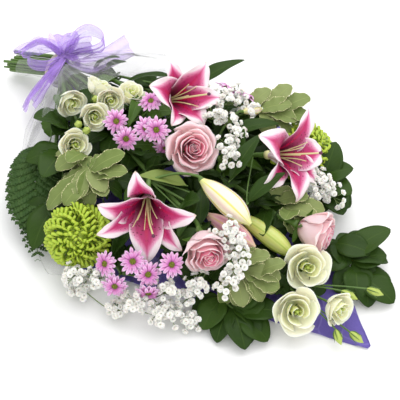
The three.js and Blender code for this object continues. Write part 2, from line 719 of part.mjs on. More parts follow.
function lisianthus(index) {
  const { place, face, size } = LISIANTHUSES[index];
  const owner = `lisianthus_bloom_${index + 1}`;
  const depth = LISIANTHUS.depth * size;
  const sunk = new THREE.Matrix4().makeTranslation(0, 0, -depth);
  const frame = bloomFrame(place, face, 31 * index).multiply(sunk);
  const wide = LISIANTHUS.reach * size;
  const heart = [
    { r: wide * 0.28, z: depth * 0.62 },
    { r: wide * 0.31, z: depth + 2, rim: true, lobes: 3, phase: 10 },
  ];
  const rings = [
    { r: 3.8, z: 0 },
    { r: wide * 0.34, z: depth * 0.3 },
    { r: wide * 0.66, z: depth * 0.62 },
    { r: wide, z: depth - 1, rim: true, lobes: 5, phase: 0 },
    { r: wide * 0.48, z: depth * 0.6 },
    { r: wide * 0.62, z: depth + 3, rim: true, lobes: 5, phase: 36 },
    ...(size > 0.75 ? heart : []),
    { heart: depth * 0.6 },
  ];
  const shapes = BLOOM_EASE.map((ease) => () => rosette(rings, BLOOM_SIDES, frame, ease));
  add(owner, { color: "#eef0cf", roughness: 0.6 }, settle(owner, shapes), frame);
}

// Spiky head: a ball whose quills are drawn out of every second point or so, each bent towards the mouth.
function greenMum(index) {
  const { place, face } = GREEN_MUMS[index];
  const owner = `chrysanthemum_green_${index + 1}`;
  const frame = bloomFrame(place, face);
  const ball = new THREE.IcosahedronGeometry(1, 4);
  ball.deleteAttribute("normal");
  ball.deleteAttribute("uv");
  const merged = mergeVertices(ball, 1e-3);
  const spots = merged.getAttribute("position");
  const ways = range(spots.count).map((i) => new THREE.Vector3().fromBufferAttribute(spots, i));
  const faces = range(merged.index.count / 3).map((i) => [0, 1, 2].map((j) => merged.index.getX(3 * i + j)));
  const near = ways.map(() => new Set());
  for (const face3 of faces) for (const a of face3) for (const b of face3) if (a !== b) near[a].add(b);
  const quills = new Set();
  ways.forEach((way, i) => {
    const free = ![...near[i]].some((j) => quills.has(j));
    if (free && way.z > -0.85) quills.add(i);
  });
  const points = ways.map((way, i) => {
    const seat = way.clone().multiplyScalar(GREEN_MUM.core);
    seat.z *= GREEN_MUM.flat;
    if (!quills.has(i)) return seat.applyMatrix4(frame);
    const bent = way.clone().lerp(V(0, 0, 1), 0.2).normalize();
    const heading = V(bent.x, bent.y, bent.z * GREEN_MUM.flat);
    const tip = (reach) => heading.clone().multiplyScalar(reach).applyMatrix4(frame);
    const long = GREEN_MUM.reach * (0.92 + 0.08 * Math.sin(5 * i));
    const lengths = [1, 0.85, 0.7, 0.6].map((share) => long * share);
    const root = seat.clone().applyMatrix4(frame);
    const clear = lengths.find((reach) => isClear(stalk([root, tip(reach)], 1, 3), owner));
    return tip(clear ?? GREEN_MUM.core);
  });
  const head = (ease) => solidFrom(points.map((p) => at(place).lerp(p, ease)), faces);
  const shapes = [1, 0.97, 0.93, 0.88].map((ease) => () => head(ease));
  add(owner, { color: "#9dbb2c", roughness: 0.6 }, settle(owner, shapes), frame);
}

// ---- String and ribbon round the tie ----
function tieRing(x, inner, thick, wide) {
  const SIDES = 16;
  const clear = inner / Math.cos(Math.PI / SIDES);
  const profile = [
    [clear, 0],
    [clear + thick, 0],
    [clear + thick, wide],
    [clear, wide],
    [clear, 0],
  ];
  const frame = new THREE.Matrix4().makeRotationY(Math.PI / 2).setPosition(x, 0, TIE_HEIGHT);
  return turnedBody(profile, SIDES, frame);
}

const RING_INNER = FILM_RADIUS + 0.6 + SHEET / 2 + GAP;
const KNOT = V(TIE_X[1] - 5, -6, TIE_HEIGHT + RING_INNER + 4);
const RIBBON = 38;
// Loops: the far end of each and the width direction; tails: the points they pass and end at.
const LOOPS = [
  { tip: [-322, -50, 106], swell: 17, side: [-0.5, 0.2, 0.84] },
  { tip: [-308, 14, 126], swell: 15, side: [-0.9, 0.3, 0.3] },
  { tip: [-254, 50, 122], swell: 22, side: [0.2, -0.75, 0.62] },
  { tip: [-236, 36, 100], swell: 9, side: [0.6, -0.7, -0.1] },
];
const TAILS = [
  { points: [[-296, -42, 84], [-288, -78, 50], [-282, -98, 20]], side: [0.7, 0.3, 0.6] },
  { points: [[-272, -36, 94], [-252, -58, 98], [-240, -76, 98]], side: [0.6, 0.6, 0.4] },
  { points: [[-276, 30, 98], [-262, 68, 88], [-254, 98, 72]], side: [0.7, 0.0, 0.7] },
  { points: [[-312, -22, 94], [-326, -44, 84], [-340, -58, 92]], side: [0.4, -0.3, 0.85] },
];

function ribbonSheet(curve, side, steps, width) {
  const across = at(side).normalize();
  const grid = range(steps + 1).map((k) => {
    const t = k / steps;
    const spot = curve.getPoint(t);
    return [-0.5, 0.5].map((v) => spot.clone().addScaledVector(across, v * width(t)));
  });
  return sheetSolid(grid);
}

function ribbonBow() {
  const look = { color: "#b18cf0", roughness: 0.45 };
  const knot = fromGeometry(
    new THREE.IcosahedronGeometry(1, 0),
    new THREE.Matrix4().makeScale(9, 11, 8).setPosition(KNOT),
  );
  const band = tieRing(KNOT.x - 5, RING_INNER, SHEET, 10);
  add("ribbon_bow", look, keep("ribbon_bow", knot));
  add("ribbon_bow", look, keep("ribbon_bow", band));
  for (const { tip, swell, side } of LOOPS) {
    const far = at(tip);
    const out = far.clone().sub(KNOT);
    const bulge = out.clone().cross(at(side)).normalize().multiplyScalar(swell);
    const along = (t, way) => KNOT.clone().addScaledVector(out, t).addScaledVector(bulge, way);
    const root = (way) => KNOT.clone().add(out.clone().setLength(5)).addScaledVector(bulge.clone().normalize(), way);
    const points = [root(3), along(0.45, 0.8), along(0.85, 0.75), far, along(0.85, -0.75), along(0.45, -0.8), root(-3)];
    const curve = new THREE.CatmullRomCurve3(points);
    const sheet = ribbonSheet(curve, side, 8, (t) => RIBBON * (0.08 + 0.92 * Math.sin(Math.PI * t) ** 0.8));
    add("ribbon_bow", look, keep("ribbon_bow", sheet));
  }
  for (const { points, side } of TAILS) {
    const root = KNOT.clone().add(at(points[0]).sub(KNOT).setLength(6));
    const curve = new THREE.CatmullRomCurve3([root, ...points.map(at)]);
    const sheet = ribbonSheet(curve, side, 5, (t) => RIBBON * lerp(0.08, 0.85, t ** 0.6));
    add("ribbon_bow", look, keep("ribbon_bow", sheet));
  }
}

function wrapping() {
  add("film_wrap", { color: "#e9eef0", roughness: 0.15 }, keep("film_wrap", filmWrap()));
  add("tissue_sheet", { color: "#5b4fa0", roughness: 0.8 }, keep("tissue_sheet", tissueSheet()));
  const string = tieRing(TIE_X[0], RING_INNER, 2, 4);
  add("binding_tie", { color: "#d8d2b8", roughness: 0.8 }, keep("binding_tie", string));
  ribbonBow();
}

// ---- Green parts: every stalk is remembered, so that leaves and buds find the one they grow from ----
const GREEN = { color: "#4f7a34", roughness: 0.55 };
const limbs = new Map();

// Stalk along the first of the given routes that lies clear of the other pieces.
function limb(owner, look, routes, radii, sides = 3, cup = 0, collar = null) {
  const route = routes.find((points) => isClear(growth(points, radii, sides, collar), owner));
  if (!route) return null;
  add(owner, look, keep(owner, growth(route, radii, sides, collar)));
  remember(owner, route.slice(0, route.length - cup));
  return route;
}

function remember(owner, route) {
  if (!limbs.has(owner)) limbs.set(owner, []);
  limbs.get(owner).push(...new Route(route).getPoints(8 * (route.length - 1)));
}

function nearestOn(owner, point) {
  return limbs.get(owner).reduce((a, b) => (b.distanceTo(point) < a.distanceTo(point) ? b : a));
}

// How far a twig bows aside and up, in the order they are tried.
const BENDS = [
  [0, 0], [8, 0], [-8, 0], [0, 8], [0, -8], [15, 0], [-15, 0], [0, 15], [0, -15], [12, 12], [-12, -12],
  [24, 0], [-24, 0], [0, -24], [18, -18], [-18, -18],
];

// Curved twigs from the owner's nearest stalk to an end point, bent round what is in the way.
function twigRoutes(owner, ends, lead) {
  const [end] = ends;
  const routes = [];
  for (const reach of [2, 4, 1, 7])
    for (const [aside, up] of BENDS) {
      const from = nearestOn(owner, end.clone().add(lead.clone().multiplyScalar(reach)));
      const cross = V(-(end.y - from.y), end.x - from.x, 0).normalize();
      const middle = from.clone().lerp(end.clone().add(lead), 0.65);
      middle.addScaledVector(cross, aside).add(V(0, 0, up));
      routes.push([from, middle, ...ends]);
    }
  return routes;
}

// Route and radii of a stalk's last stretch behind a bloom: it swells into the calyx.
function calyx(place, face, back, { radius, length, stem: thin }) {
  const out = looking(face);
  const seat = at(place).addScaledVector(out, -back - GAP);
  return { ends: [seat.clone().addScaledVector(out, -length), seat], radii: [thin, radius], out };
}

// ---- Stems and what they carry ----
const MUM_BACK = GREEN_MUM.core * GREEN_MUM.flat;
const LILY_FORKS = [null, [-20, -70, 62], [10, 40, 66]];
const LISIANTHUS_FORKS = [[-178, -10, 84], [-176, -64, 76], [196, -22, 26]];
const PINK_SPRAYS = [
  {
    fork: [-118, -34, 84],
    heads: [
      { place: [-93, -58, 134], face: [-27, 49] },
      { place: [-62, -67, 132], face: [-42, 30] },
      { place: [-53, -40, 138], face: [-27, 49] },
      { place: [-37, -35, 145], face: [-50, 45] },
      { place: [-89, 0, 134], face: [-89, 82] },
      { place: [-30, -26, 112], face: [-42, -10] },
    ],
  },
  {
    fork: [36, -165, 20],
    heads: [
      { place: [67, -199, 58], face: [-48, 20] },
      { place: [92, -165, 76], face: [-31, 32] },
      { place: [107, -139, 86], face: [-11, 53] },
      { place: [72, -172, 88], face: [-42, 60] },
      { place: [44, -194, 76], face: [-84, 42] },
      { place: [99, -171, 50], face: [-42, -10] },
    ],
  },
  {
    fork: [-78, 84, 84],
    heads: [
      { place: [-50, 103, 118], face: [95, 43] },
      { place: [-25, 115, 114], face: [95, 43] },
    ],
  },
];
const GREEN_BUDS = [
  { stem: 0, base: [-160, -40, 112], tip: [-148, -48, 130] },
  { stem: 1, base: [-142, -86, 110], tip: [-130, -92, 124] },
  { stem: 1, base: [-124, -88, 112], tip: [-112, -90, 126] },
  { stem: 2, base: [258, 17, 38], tip: [280, 24, 36] },
  { stem: 2, base: [276, 46, 34], tip: [296, 56, 32] },
  { stem: 2, base: [288, -24, 24], tip: [306, -32, 18] },
  { stem: 2, base: [302, -12, 22], tip: [322, -8, 16] },
];
const LILY_LEAVES = [
  { stem: 0, base: [-92, 70, 104], tip: [-67, 154, 128] },
  { stem: 1, base: [28, -40, 92], tip: [-15, -87, 112] },
  { stem: 1, base: [43, -40, 86], tip: [82, -105, 88] },
  { stem: 1, base: [81, -66, 78], tip: [42, -27, 90] },
  { stem: 2, base: [60, 5, 92], tip: [48, 74, 125] },
  { stem: 2, base: [0, 60, 96], tip: [40, 117, 108] },
  { stem: 2, base: [40, 30, 92], tip: [28, 62, 128] },
  { stem: 2, base: [106, -7, 98], tip: [116, 51, 122] },
];
const FOLIAGE = [
  {
    name: "pittosporum_1",
    kind: "pittosporum",
    axis: [[-128, -86, 74], [-92, -112, 96], [-62, -130, 96]],
    tips: [
      [-93, -142, 116], [-44, -84, 130], [-24, -97, 120],
      [-28, -134, 105], [-61, -177, 85], [-50, -158, 92],
    ],
    more: [[-84, -188, 64], [-110, -150, 92]],
  },
  {
    name: "pittosporum_2",
    kind: "pittosporum",
    axis: [[-36, 90, 80], [0, 118, 100], [20, 132, 100]],
    tips: [[10, 169, 125], [34, 183, 110], [58, 166, 95], [32, 148, 118], [-12, 152, 112]],
    more: [[50, 140, 104]],
  },
  {
    name: "pittosporum_3",
    kind: "pittosporum",
    axis: [[118, -58, 46], [156, -66, 60], [174, -62, 50]],
    tips: [[182, -39, 88], [195, -23, 72], [200, -36, 56], [206, -50, 46], [202, -70, 40], [190, -92, 36]],
    more: [[168, -30, 60]],
  },
  {
    name: "pittosporum_4",
    kind: "pittosporum",
    axis: [[80, 32, 48], [112, 44, 58], [134, 56, 56]],
    tips: [[162, 84, 60], [168, 62, 66], [150, 20, 82], [137, 78, 72]],
    more: [[120, 74, 66]],
  },
  {
    name: "ruscus_1",
    kind: "ruscus",
    axis: [[128, -88, 20], [164, -96, 22], [188, -94, 20]],
    tips: [[176, -50, 52], [169, -142, 12], [236, -92, 9], [225, -56, 26], [226, -122, 10]],
  },
  {
    name: "ruscus_2",
    kind: "ruscus",
    axis: [[146, 66, 26], [192, 74, 26], [250, 68, 14]],
    tips: [[233, 138, 40], [240, 92, 34], [252, 112, 24], [304, 71, 8], [270, 36, 12]],
  },
  {
    name: "ruscus_3",
    kind: "ruscus",
    axis: [[82, 108, 26], [112, 132, 36], [134, 130, 34]],
    tips: [[94, 176, 72], [136, 168, 58], [160, 140, 46], [172, 112, 36]],
  },
  {
    name: "broad_leaves",
    kind: "broad",
    axis: [[-196, -66, 58], [-156, -98, 70], [-100, -158, 46]],
    tips: [[-190, -124, 112], [-118, -168, 84], [-70, -228, 26]],
  },
];
// How far a leaf's tip is lifted and which share of its length it keeps, in the order they are tried.
const LEAF_TRIES = [
  [0, 1], [8, 1], [-8, 1], [15, 1], [-15, 1], [24, 0.95], [-22, 0.9], [0, 0.8], [12, 0.75], [-12, 0.75],
];
const LEAF_SPACE = 8; // between the roots of leaves on one twig
const LEAF = {
  pittosporum: { size: 50, half: 12.5, peak: 0.55, blunt: 0.55, cup: 0.35, wave: 1.6, thick: 0.9, color: "#9aae84" },
  ruscus: { size: 52, half: 15, peak: 0.45, blunt: 0.85, cup: 0.25, wave: 0, thick: 0.9, color: "#2c5520" },
  broad: { size: 66, half: 22, peak: 0.45, blunt: 0.7, cup: 0.3, wave: 0, thick: 0.9, color: "#3c6b2c" },
  lily: { half: 11, peak: 0.42, blunt: 0.9, cup: 0.3, wave: 0, thick: 0.9, color: "#3f6b2b" },
};
const FERNS = [
  { axis: [[-196, -98, 46], [-166, -140, 52], [-122, -184, 44], [-82, -212, 30]], reach: 46, pairs: 12 },
  { axis: [[-176, -84, 16], [-144, -136, 22], [-98, -196, 25], [-54, -234, 20]], reach: 34, pairs: 10 },
];
const VEILS = [
  {
    fork: [-66, 50, 74],
    clusters: [
      [-51, 68, 112], [-45, 79, 120], [-26, 85, 118], [-31, 107, 112], [-6, 104, 104],
      [-14, 50, 122], [3, 60, 122], [22, 53, 116], [26, 32, 118], [44, 20, 112],
    ],
  },
  {
    fork: [44, -150, 14],
    clusters: [
      [14, -222, 45], [16, -216, 14], [38, -205, 46], [72, -206, 12], [92, -190, 34], [112, -156, 46],
      [128, -160, 20], [132, -132, 34], [146, -142, 10], [134, -118, 50], [124, -176, 30],
    ],
  },
  {
    fork: [84, 84, 40],
    clusters: [[112, 100, 66], [124, 112, 66], [104, 112, 60], [136, 116, 54], [134, 98, 54], [146, 118, 46]],
  },
  {
    fork: [96, -62, 60],
    clusters: [
      [128, -68, 112], [140, -62, 104], [152, -66, 98],
      [160, -72, 86], [166, -92, 76], [170, -100, 64],
    ],
  },
];

function flowerStem(name, kind, fork, place, face, back, cup) {
  const radius = STEM_RADII[kind];
  const { ends, radii, out } = calyx(place, face, back, { ...cup, stem: radius });
  const lead = ends[0].clone().addScaledVector(out, -12);
  stem(name, kind, [...fork, lead, ...ends], [...fork.map(() => radius), radius, ...radii]);
}

function mainStems() {
  LILIES.forEach(({ place, face }, i) => {
    const name = `lily_${i + 1}_stem`;
    const fork = LILY_FORKS[i] ? [at(LILY_FORKS[i])] : [];
    flowerStem(name, "lily", fork, place, face, 0, { radius: 5.2, length: 12 });
    balls.push({ owner: name, middle: at(place).addScaledVector(looking(face), 34), radius: 48 });
  });
  ROSES.forEach(({ place, face }, i) => {
    const name = `rose_${i + 1}_stem`;
    flowerStem(name, "rose", [], place, face, ROSE.depth, { radius: 6.5, length: 12 });
    const middle = at(place).addScaledVector(looking(face), -ROSE.depth / 2);
    balls.push({ owner: name, middle, radius: 34 });
  });
  GREEN_MUMS.forEach(({ place, face }, i) => {
    const name = `chrysanthemum_green_stem_${i + 1}`;
    flowerStem(name, "mum", [], place, face, MUM_BACK, { radius: 8, length: 9 });
    balls.push({ owner: name, middle: at(place), radius: 48 });
  });
  LISIANTHUSES.forEach(({ place, face, size }) => {
    const middle = at(place).addScaledVector(looking(face), (-LISIANTHUS.depth * size) / 2);
    balls.push({ owner: "none", middle, radius: 25 * size });
  });
  LISIANTHUS_FORKS.forEach((fork, i) => stem(`lisianthus_stem_${i + 1}`, "lisianthus", [at(fork)]));
  PINK_SPRAYS.forEach(({ fork }, i) => stem(`chrysanthemum_pink_spray_${i + 1}`, "pink", [at(fork)]));
  VEILS.forEach(({ fork }, i) => stem(`gypsophila_spray_${i + 1}`, "veil", [at(fork)]));
  FOLIAGE.forEach(({ name, axis }) => stem(name, "leafy", axis.map(at)));
  FERNS.forEach(({ axis }, i) => {
    const rachis = new THREE.CatmullRomCurve3(axis.map(at), false, "centripetal");
    stem(`fern_${i + 1}`, "fern", [rachis.getPointAt(0), rachis.getPointAt(0.15), rachis.getPointAt(0.3)]);
  });
}

const LOOK = {
  pink: { color: "#cf8fd0", roughness: 0.6 },
  veil: { color: "#f3f3ec", roughness: 0.7 },
  fern: { color: "#3d6a3a", roughness: 0.6 },
};

function lookOf(name) {
  if (name.startsWith("chrysanthemum_pink")) return LOOK.pink;
  if (name.startsWith("gypsophila")) return LOOK.veil;
  if (name.startsWith("fern")) return LOOK.fern;
  const leafy = FOLIAGE.find((spray) => spray.name === name);
  return leafy ? { color: LEAF[leafy.kind].color, roughness: 0.4 } : GREEN;
}

// Daisy in one body with its twig: a domed disc, blunt petals and a cone beneath that the twig grows from.
function pinkHead(owner, { place, face }, k) {
  const { reach, disc, petals } = SPRAY_DAISY;
  const frame = bloomFrame(place, face, 17 * k);
  const out = looking(face);
  const seat = at(place).addScaledVector(out, -3.4);
  const lead = out.clone().multiplyScalar(-9);
  const before = seat.clone().add(lead);
  const routes = twigRoutes(owner, [seat], lead).map(([from, middle]) => [from, middle, before, seat]);
  const route = routes.find((points) => isClear(growth(points, points.map(() => 1.2)), owner));
  const slice = (2 * Math.PI) / petals;
  const star = (ease, twig) => {
    const spot = (r, turn, z) => V(r * Math.cos(turn), r * Math.sin(turn), z).applyMatrix4(frame);
    const hub = [1, 2, 3];
    const foot = hub.map((h) => spot(1.2, (h * 2 - 1) * (Math.PI / 3), -3.4));
    const points = [V(0, 0, 2.6).applyMatrix4(frame), ...foot];
    const faces = [];
    range(petals).forEach((i) => {
      const [far, dip] = [reach * ease * (i % 2 ? 1 : 0.9), i % 2 ? -0.5 : 1.5];
      points.push(spot(disc, i * slice, 1.6), spot(disc + 1, i * slice, -0.4));
      points.push(spot(far, (i + 0.26) * slice, dip), spot(far, (i + 0.74) * slice, dip));
      const [rim, valley, left, right] = [4, 5, 6, 7].map((n) => n + 4 * i);
      const [nextRim, nextValley] = [4, 5].map((n) => n + 4 * ((i + 1) % petals));
      const under = hub[Math.floor((i * 3) / petals)];
      const nextUnder = hub[Math.floor((((i + 1) % petals) * 3) / petals)];
      faces.push([0, rim, nextRim], [rim, valley, left], [rim, left, right], [rim, right, nextRim]);
      faces.push([nextRim, right, nextValley]);
      faces.push([under, left, valley], [under, right, left], [under, nextValley, right]);
      if (nextUnder !== under) faces.push([nextValley, under, nextUnder]);
    });
    if (!twig) faces.push([hub[2], hub[1], hub[0]]);
    else sprout(points, faces, [hub[2], hub[1], hub[0]], twig, twig.map(() => 1.2));
    return solidFrom(points, faces);
  };
  if (!route) return;
  const twig = [route[2], route[1], route[0]];
  const tries = [1, 0.9, 0.75, 0.6].map((ease) => () => ({ solid: star(ease, twig), probe: star(ease) }));
  const made = settle(owner, tries);
  add(owner, LOOK.pink, made);
  if (made) remember(owner, route.slice(0, 2));
}

// A leaf; if its way is barred it is lifted, lowered or shortened a little.
function leaf(owner, look, kind, base, tip, rise = 0.12) {
  const { half, peak, blunt, cup, wave, thick } = LEAF[kind];
  const tries = LEAF_TRIES.map(([lift, size]) => () => {
    const end = base.clone().lerp(tip, size).add(V(0, 0, lift));
    const span = end.distanceTo(base);
    const outline = (t) => (t < 0.15 ? 0 : belly((t - 0.05) / 0.95, peak, blunt));
    const cut = (shares) => {
      const rib = archedRib({ span, rise: rise * span, shares });
      return put(blade(rib, { half: half * size, thick, outline, cup, wave, root: 1 }), leafFrame(base, end));
    };
    return { solid: cut([0, 0.13, 0.6, 1]), probe: cut([0.3, 0.62, 1]) };
  });
  add(owner, look, settle(owner, tries));
}

// A leaf on a twig from the nearest stalk of its own stem.
function twigLeaf(owner, look, kind, base, tip) {
  const from = nearestOn(owner, base);
  const lead = tip.clone().sub(base).normalize().multiplyScalar(3);
  const route = [from, base, base.clone().add(lead)];
  const twig = from.distanceTo(base) > 5 && limb(owner, look, [route], [1, 1, 1]);
  leaf(owner, look, kind, twig ? base : from, tip);
}

function foliage({ name, kind, axis, tips, more = [] }) {
  const look = lookOf(name);
  const { size } = LEAF[kind];
  const twig = new Route(axis.map(at)).getPoints(30);
  const used = [];
  for (const end of [...tips, ...more].map(at)) {
    const crowd = (point) => Math.max(0, ...used.map((other) => LEAF_SPACE - other.distanceTo(point)));
    const miss = (point) => Math.abs(point.distanceTo(end) - size) + 2 * crowd(point);
    const base = twig.reduce((a, b) => (miss(b) < miss(a) ? b : a));
    used.push(base);
    leaf(name, look, kind, base, end);
  }
}

// Frond as one thin blade, cut to the rib between its leaflets.
function fern({ axis, reach, pairs }, index) {
  const owner = `fern_${index + 1}`;
  const rachis = new THREE.CatmullRomCurve3(axis.map(at), false, "centripetal");
  const share = (k) => lerp(0.28, 1, k / pairs);
  const points = [];
  const faces = [];
  const mark = (point) => points.push(point) - 1;
  for (const side of [-1, 1]) {
    const ribs = range(pairs + 1).map((k) => {
      const spot = rachis.getPointAt(share(k));
      const along = rachis.getTangentAt(share(k));
      return { spot, along, across: V(-along.y, along.x, 0).normalize().multiplyScalar(side) };
    });
    const rows = ribs.map(({ spot, across }) => [
      mark(spot.clone().add(V(0, 0, 0.9))),
      mark(spot.clone().add(V(0, 0, -0.9))),
      mark(spot.clone().addScaledVector(across, 1.6)),
    ]);
    range(pairs).forEach((k) => {
      const long = reach * Math.sin(Math.PI * lerp(0.35, 0.93, k / (pairs - 1)));
      const { spot, along, across } = ribs[k];
      const reachTo = (far, forward) =>
        spot.clone().addScaledVector(across, far * 0.8).addScaledVector(along, far * 0.6 + forward);
      const fits = (s) => isClear(stalk([spot, reachTo(long * s, 3)], 1.5, 3), owner);
      const clear = long * ([1, 0.7, 0.4].find(fits) ?? 0.15);
      const marks = [reachTo(clear * 0.6, -1.5), reachTo(clear, 3), reachTo(clear * 0.55, 7)];
      const [low, tip, high] = marks.map(mark);
      const [[top, under, valley], [nextTop, nextUnder, nextValley]] = [rows[k], rows[k + 1]];
      const upper = [[top, valley, low], [top, low, high], [low, tip, high]];
      upper.push([top, high, nextTop], [nextTop, high, nextValley]);
      const swap = new Map([[top, under], [nextTop, nextUnder]]);
      const lower = upper.map(([a, b, c]) => [a, c, b].map((n) => swap.get(n) ?? n));
      for (const [a, b, c] of [...upper, ...lower]) faces.push(side > 0 ? [a, b, c] : [a, c, b]);
    });
    const [top, under, valley] = rows[0];
    const end = rows[pairs];
    faces.push(side > 0 ? [top, under, valley] : [top, valley, under]);
    faces.push(side > 0 ? [end[0], end[2], end[1]] : [end[0], end[1], end[2]]);
  }
  add(owner, LOOK.fern, keep(owner, fromFaces(points, faces)));
}

// Cluster of tiny flowers: a small node of the twig whose sides are drawn out into stalked flowers.
function floretStar(middle, twig, owner, draw) {
  const seed = new THREE.OctahedronGeometry(NODE_OF_TWIG, 0);
  seed.deleteAttribute("normal");
  seed.deleteAttribute("uv");
  const merged = mergeVertices(seed.rotateX(6 * draw()).rotateY(6 * draw()), 1e-3);
  const spots = merged.getAttribute("position");
  const points = range(spots.count).map((i) => new THREE.Vector3().fromBufferAttribute(spots, i).add(middle));
  const faces = range(merged.index.count / 3).map((i) => [0, 1, 2].map((j) => merged.index.getX(3 * i + j)));
  const facing = (face) => {
    const normal = face.reduce((sum, i) => sum.add(points[i]), V(0, 0, 0)).divideScalar(3).sub(middle);
    return normal.normalize().dot(twig[0].clone().sub(middle).normalize());
  };
  faces.sort((a, b) => facing(b) - facing(a));
  const count = faces.length;
  sprout(points, faces, faces.shift(), twig, twig.map(() => TWIG));
  let used = 0;
  for (let n = count - 2; n >= 0; n--) {
    if (used >= FLORETS_A_STAR) break;
    const face = faces[n];
    const corners = face.map((i) => points[i]);
    const heart = corners[0].clone().add(corners[1]).add(corners[2]).divideScalar(3);
    const way = heart.clone().sub(middle).normalize();
    const long = lerp(8, 15, draw());
    const place = middle.clone().addScaledVector(way, long);
    const ball = fromGeometry(new THREE.OctahedronGeometry(FLORET), new THREE.Matrix4().setPosition(place));
    if (place.z < FLORET + 2 || !isClear(ball, owner)) continue;
    used += 1;
    const ring = (far, wide) =>
      corners.map((corner) => {
        const spoke = corner.clone().sub(heart).setLength(wide);
        return points.push(middle.clone().addScaledVector(way, far).add(spoke)) - 1;
      });
    const rim = ring(long + 1, FLORET);
    const crown = points.push(middle.clone().addScaledVector(way, long + 2.5)) - 1;
    for (const i of range(3)) {
      const j = (i + 1) % 3;
      faces.push([face[i], face[j], rim[j]], [face[i], rim[j], rim[i]], [rim[i], rim[j], crown]);
    }
    faces[n] = null;
  }
  return solidFrom(points, faces.filter(Boolean));
}

function veil({ clusters }, index) {
  const owner = `gypsophila_spray_${index + 1}`;
  const draw = seeded(4127 + 97 * index);
  for (const cluster of clusters) {
    const middle = at(cluster);
    const routes = twigRoutes(owner, [middle], V(-5, 0, -10));
    const route = routes.find((points) => isClear(growth(points, points.map(() => 0.9)), owner));
    if (!route) continue;
    const tries = range(4).map(() => () => floretStar(middle, [route[1], route[0]], owner, draw));
    const star = settle(owner, tries);
    add(owner, LOOK.veil, star);
    if (star) remember(owner, route.slice(0, 2));
  }
}

const DETOURS = [
  [0, 0], [-4, 0], [4, 0], [0, -4], [0, 4], [-6, -4], [6, -4], [-8, 0], [8, 0], [-12, -4], [12, -4],
  [0, -10], [-8, -12], [-16, -10],
];

// The route with the points between the tie and the bloom shifted, each by its share of the way.
function detour(points, endCount, aside, up) {
  const first = 4;
  const count = points.length - endCount - first;
  return points.map((point, k) => {
    const share = k < first || k >= first + count ? 0 : (k - first + 1) / count;
    return point.clone().add(V(0, aside * share, up * share));
  });
}

function plantStems() {
  mainStems();
  spread();
  for (const { name, points, radius, ends } of stems) {
    const radii = [...points.slice(ends.length).map(() => radius), ...ends];
    const sides = radius > 2.5 ? 5 : radius > 1.9 ? 4 : 3;
    const collar = name.startsWith("rose") ? ROSE.sepals : null;
    const routes = DETOURS.map(([aside, up]) => detour(points, ends.length, aside, up));
    limb(name, lookOf(name), routes, radii, sides, radius > 2.5 ? 2 : 0, collar);
  }
}

function necks() {
  LISIANTHUSES.forEach(({ place, face, stem: k, size }) => {
    const owner = `lisianthus_stem_${k + 1}`;
    const swelling = { radius: 4, length: 8, stem: 1.5 };
    const { ends, radii, out } = calyx(place, face, LISIANTHUS.depth * size, swelling);
    limb(owner, GREEN, twigRoutes(owner, ends, out.multiplyScalar(-10)), [1.5, 1.5, ...radii], 4, 2);
  });
  LILY_BUDS.forEach(({ base, tip, girth, stem: k }) => {
    const owner = `lily_${k + 1}_stem`;
    const out = at(tip).sub(at(base)).normalize();
    const seat = at(base).addScaledVector(out, -GAP);
    const ends = [seat.clone().addScaledVector(out, -8), seat];
    limb(owner, GREEN, twigRoutes(owner, ends, out.multiplyScalar(-12)), [1.7, 1.7, 1.8, girth * 0.27], 4, 2);
  });
}

function pinkSprays() {
  PINK_SPRAYS.forEach(({ heads }, i) => {
    heads.forEach((head, k) => pinkHead(`chrysanthemum_pink_spray_${i + 1}`, head, k));
  });
}

function buildBouquet() {
  wrapping();
  LILIES.forEach((_, i) => lily(i));
  LILY_BUDS.forEach((_, i) => lilyBud(i));
  ROSES.forEach((_, i) => rose(i));
  LISIANTHUSES.forEach((_, i) => lisianthus(i));
  GREEN_MUMS.forEach((_, i) => greenMum(i));
  plantStems();
  necks();
  pinkSprays();
  for (const { stem: k, base, tip } of GREEN_BUDS) {
    const owner = `lisianthus_stem_${k + 1}`;
    const out = at(tip).sub(at(base)).normalize();
    const ends = [0, 0.4, 0.75, 1].map((t) => at(base).lerp(at(tip), t));
    limb(owner, GREEN, twigRoutes(owner, ends, out.multiplyScalar(-8)), [1.1, 1.1, 2, 5, 3.2, 0.6], 4, 4);
  }
  for (const { stem: k, base, tip } of LILY_LEAVES)
    twigLeaf(`lily_${k + 1}_stem`, GREEN, "lily", at(base), at(tip));
  FOLIAGE.forEach(foliage);
  FERNS.forEach(fern);
  VEILS.forEach(veil);
}

// One body for each node: its pieces joined, and any scrap that stayed apart dropped. A bloom's mesh is
// made in the bloom's own frame and placed by it.
function meshOf(name, { look, solids, frame }) {
  const bodies = Manifold.union(solids).simplify(0.02).decompose();
  bodies.sort((a, b) => b.volume() - a.volume());
  const { vertProperties, triVerts, numProp } = bodies[0].getMesh();
  const geometry = new THREE.BufferGeometry()
    .setAttribute("position", new THREE.BufferAttribute(new Float32Array(vertProperties), numProp))
    .setIndex(new THREE.BufferAttribute(new Uint32Array(triVerts), 1));
  const mesh = new THREE.Mesh(geometry, new THREE.MeshStandardMaterial({ ...look, metalness: 0 }));
  if (frame) {
    geometry.applyMatrix4(frame.clone().invert());
    mesh.applyMatrix4(frame);
  }
  mesh.name = name;
  return mesh;
}

buildBouquet();
const bouquet = new THREE.Group();
const wrapper = new THREE.Group();
const blooms = new THREE.Group();
const greens = new THREE.Group();
bouquet.add(wrapper, blooms, greens);
const WRAPPER = ["film_wrap", "tissue_sheet", "binding_tie", "ribbon_bow"];
for (const [name, part] of parts) {
  const group = WRAPPER.includes(name) ? wrapper : part.frame ? blooms : greens;
  group.add(meshOf(name, part));
}

export default bouquet;
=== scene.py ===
"""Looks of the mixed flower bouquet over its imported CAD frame.

Lengths are millimetres in the bouquet's frame (+X from the tied stems to the flower tips, +Z up, z = 0 the
surface it lies on) until a piece is built, and metres from there on.
"""

import math

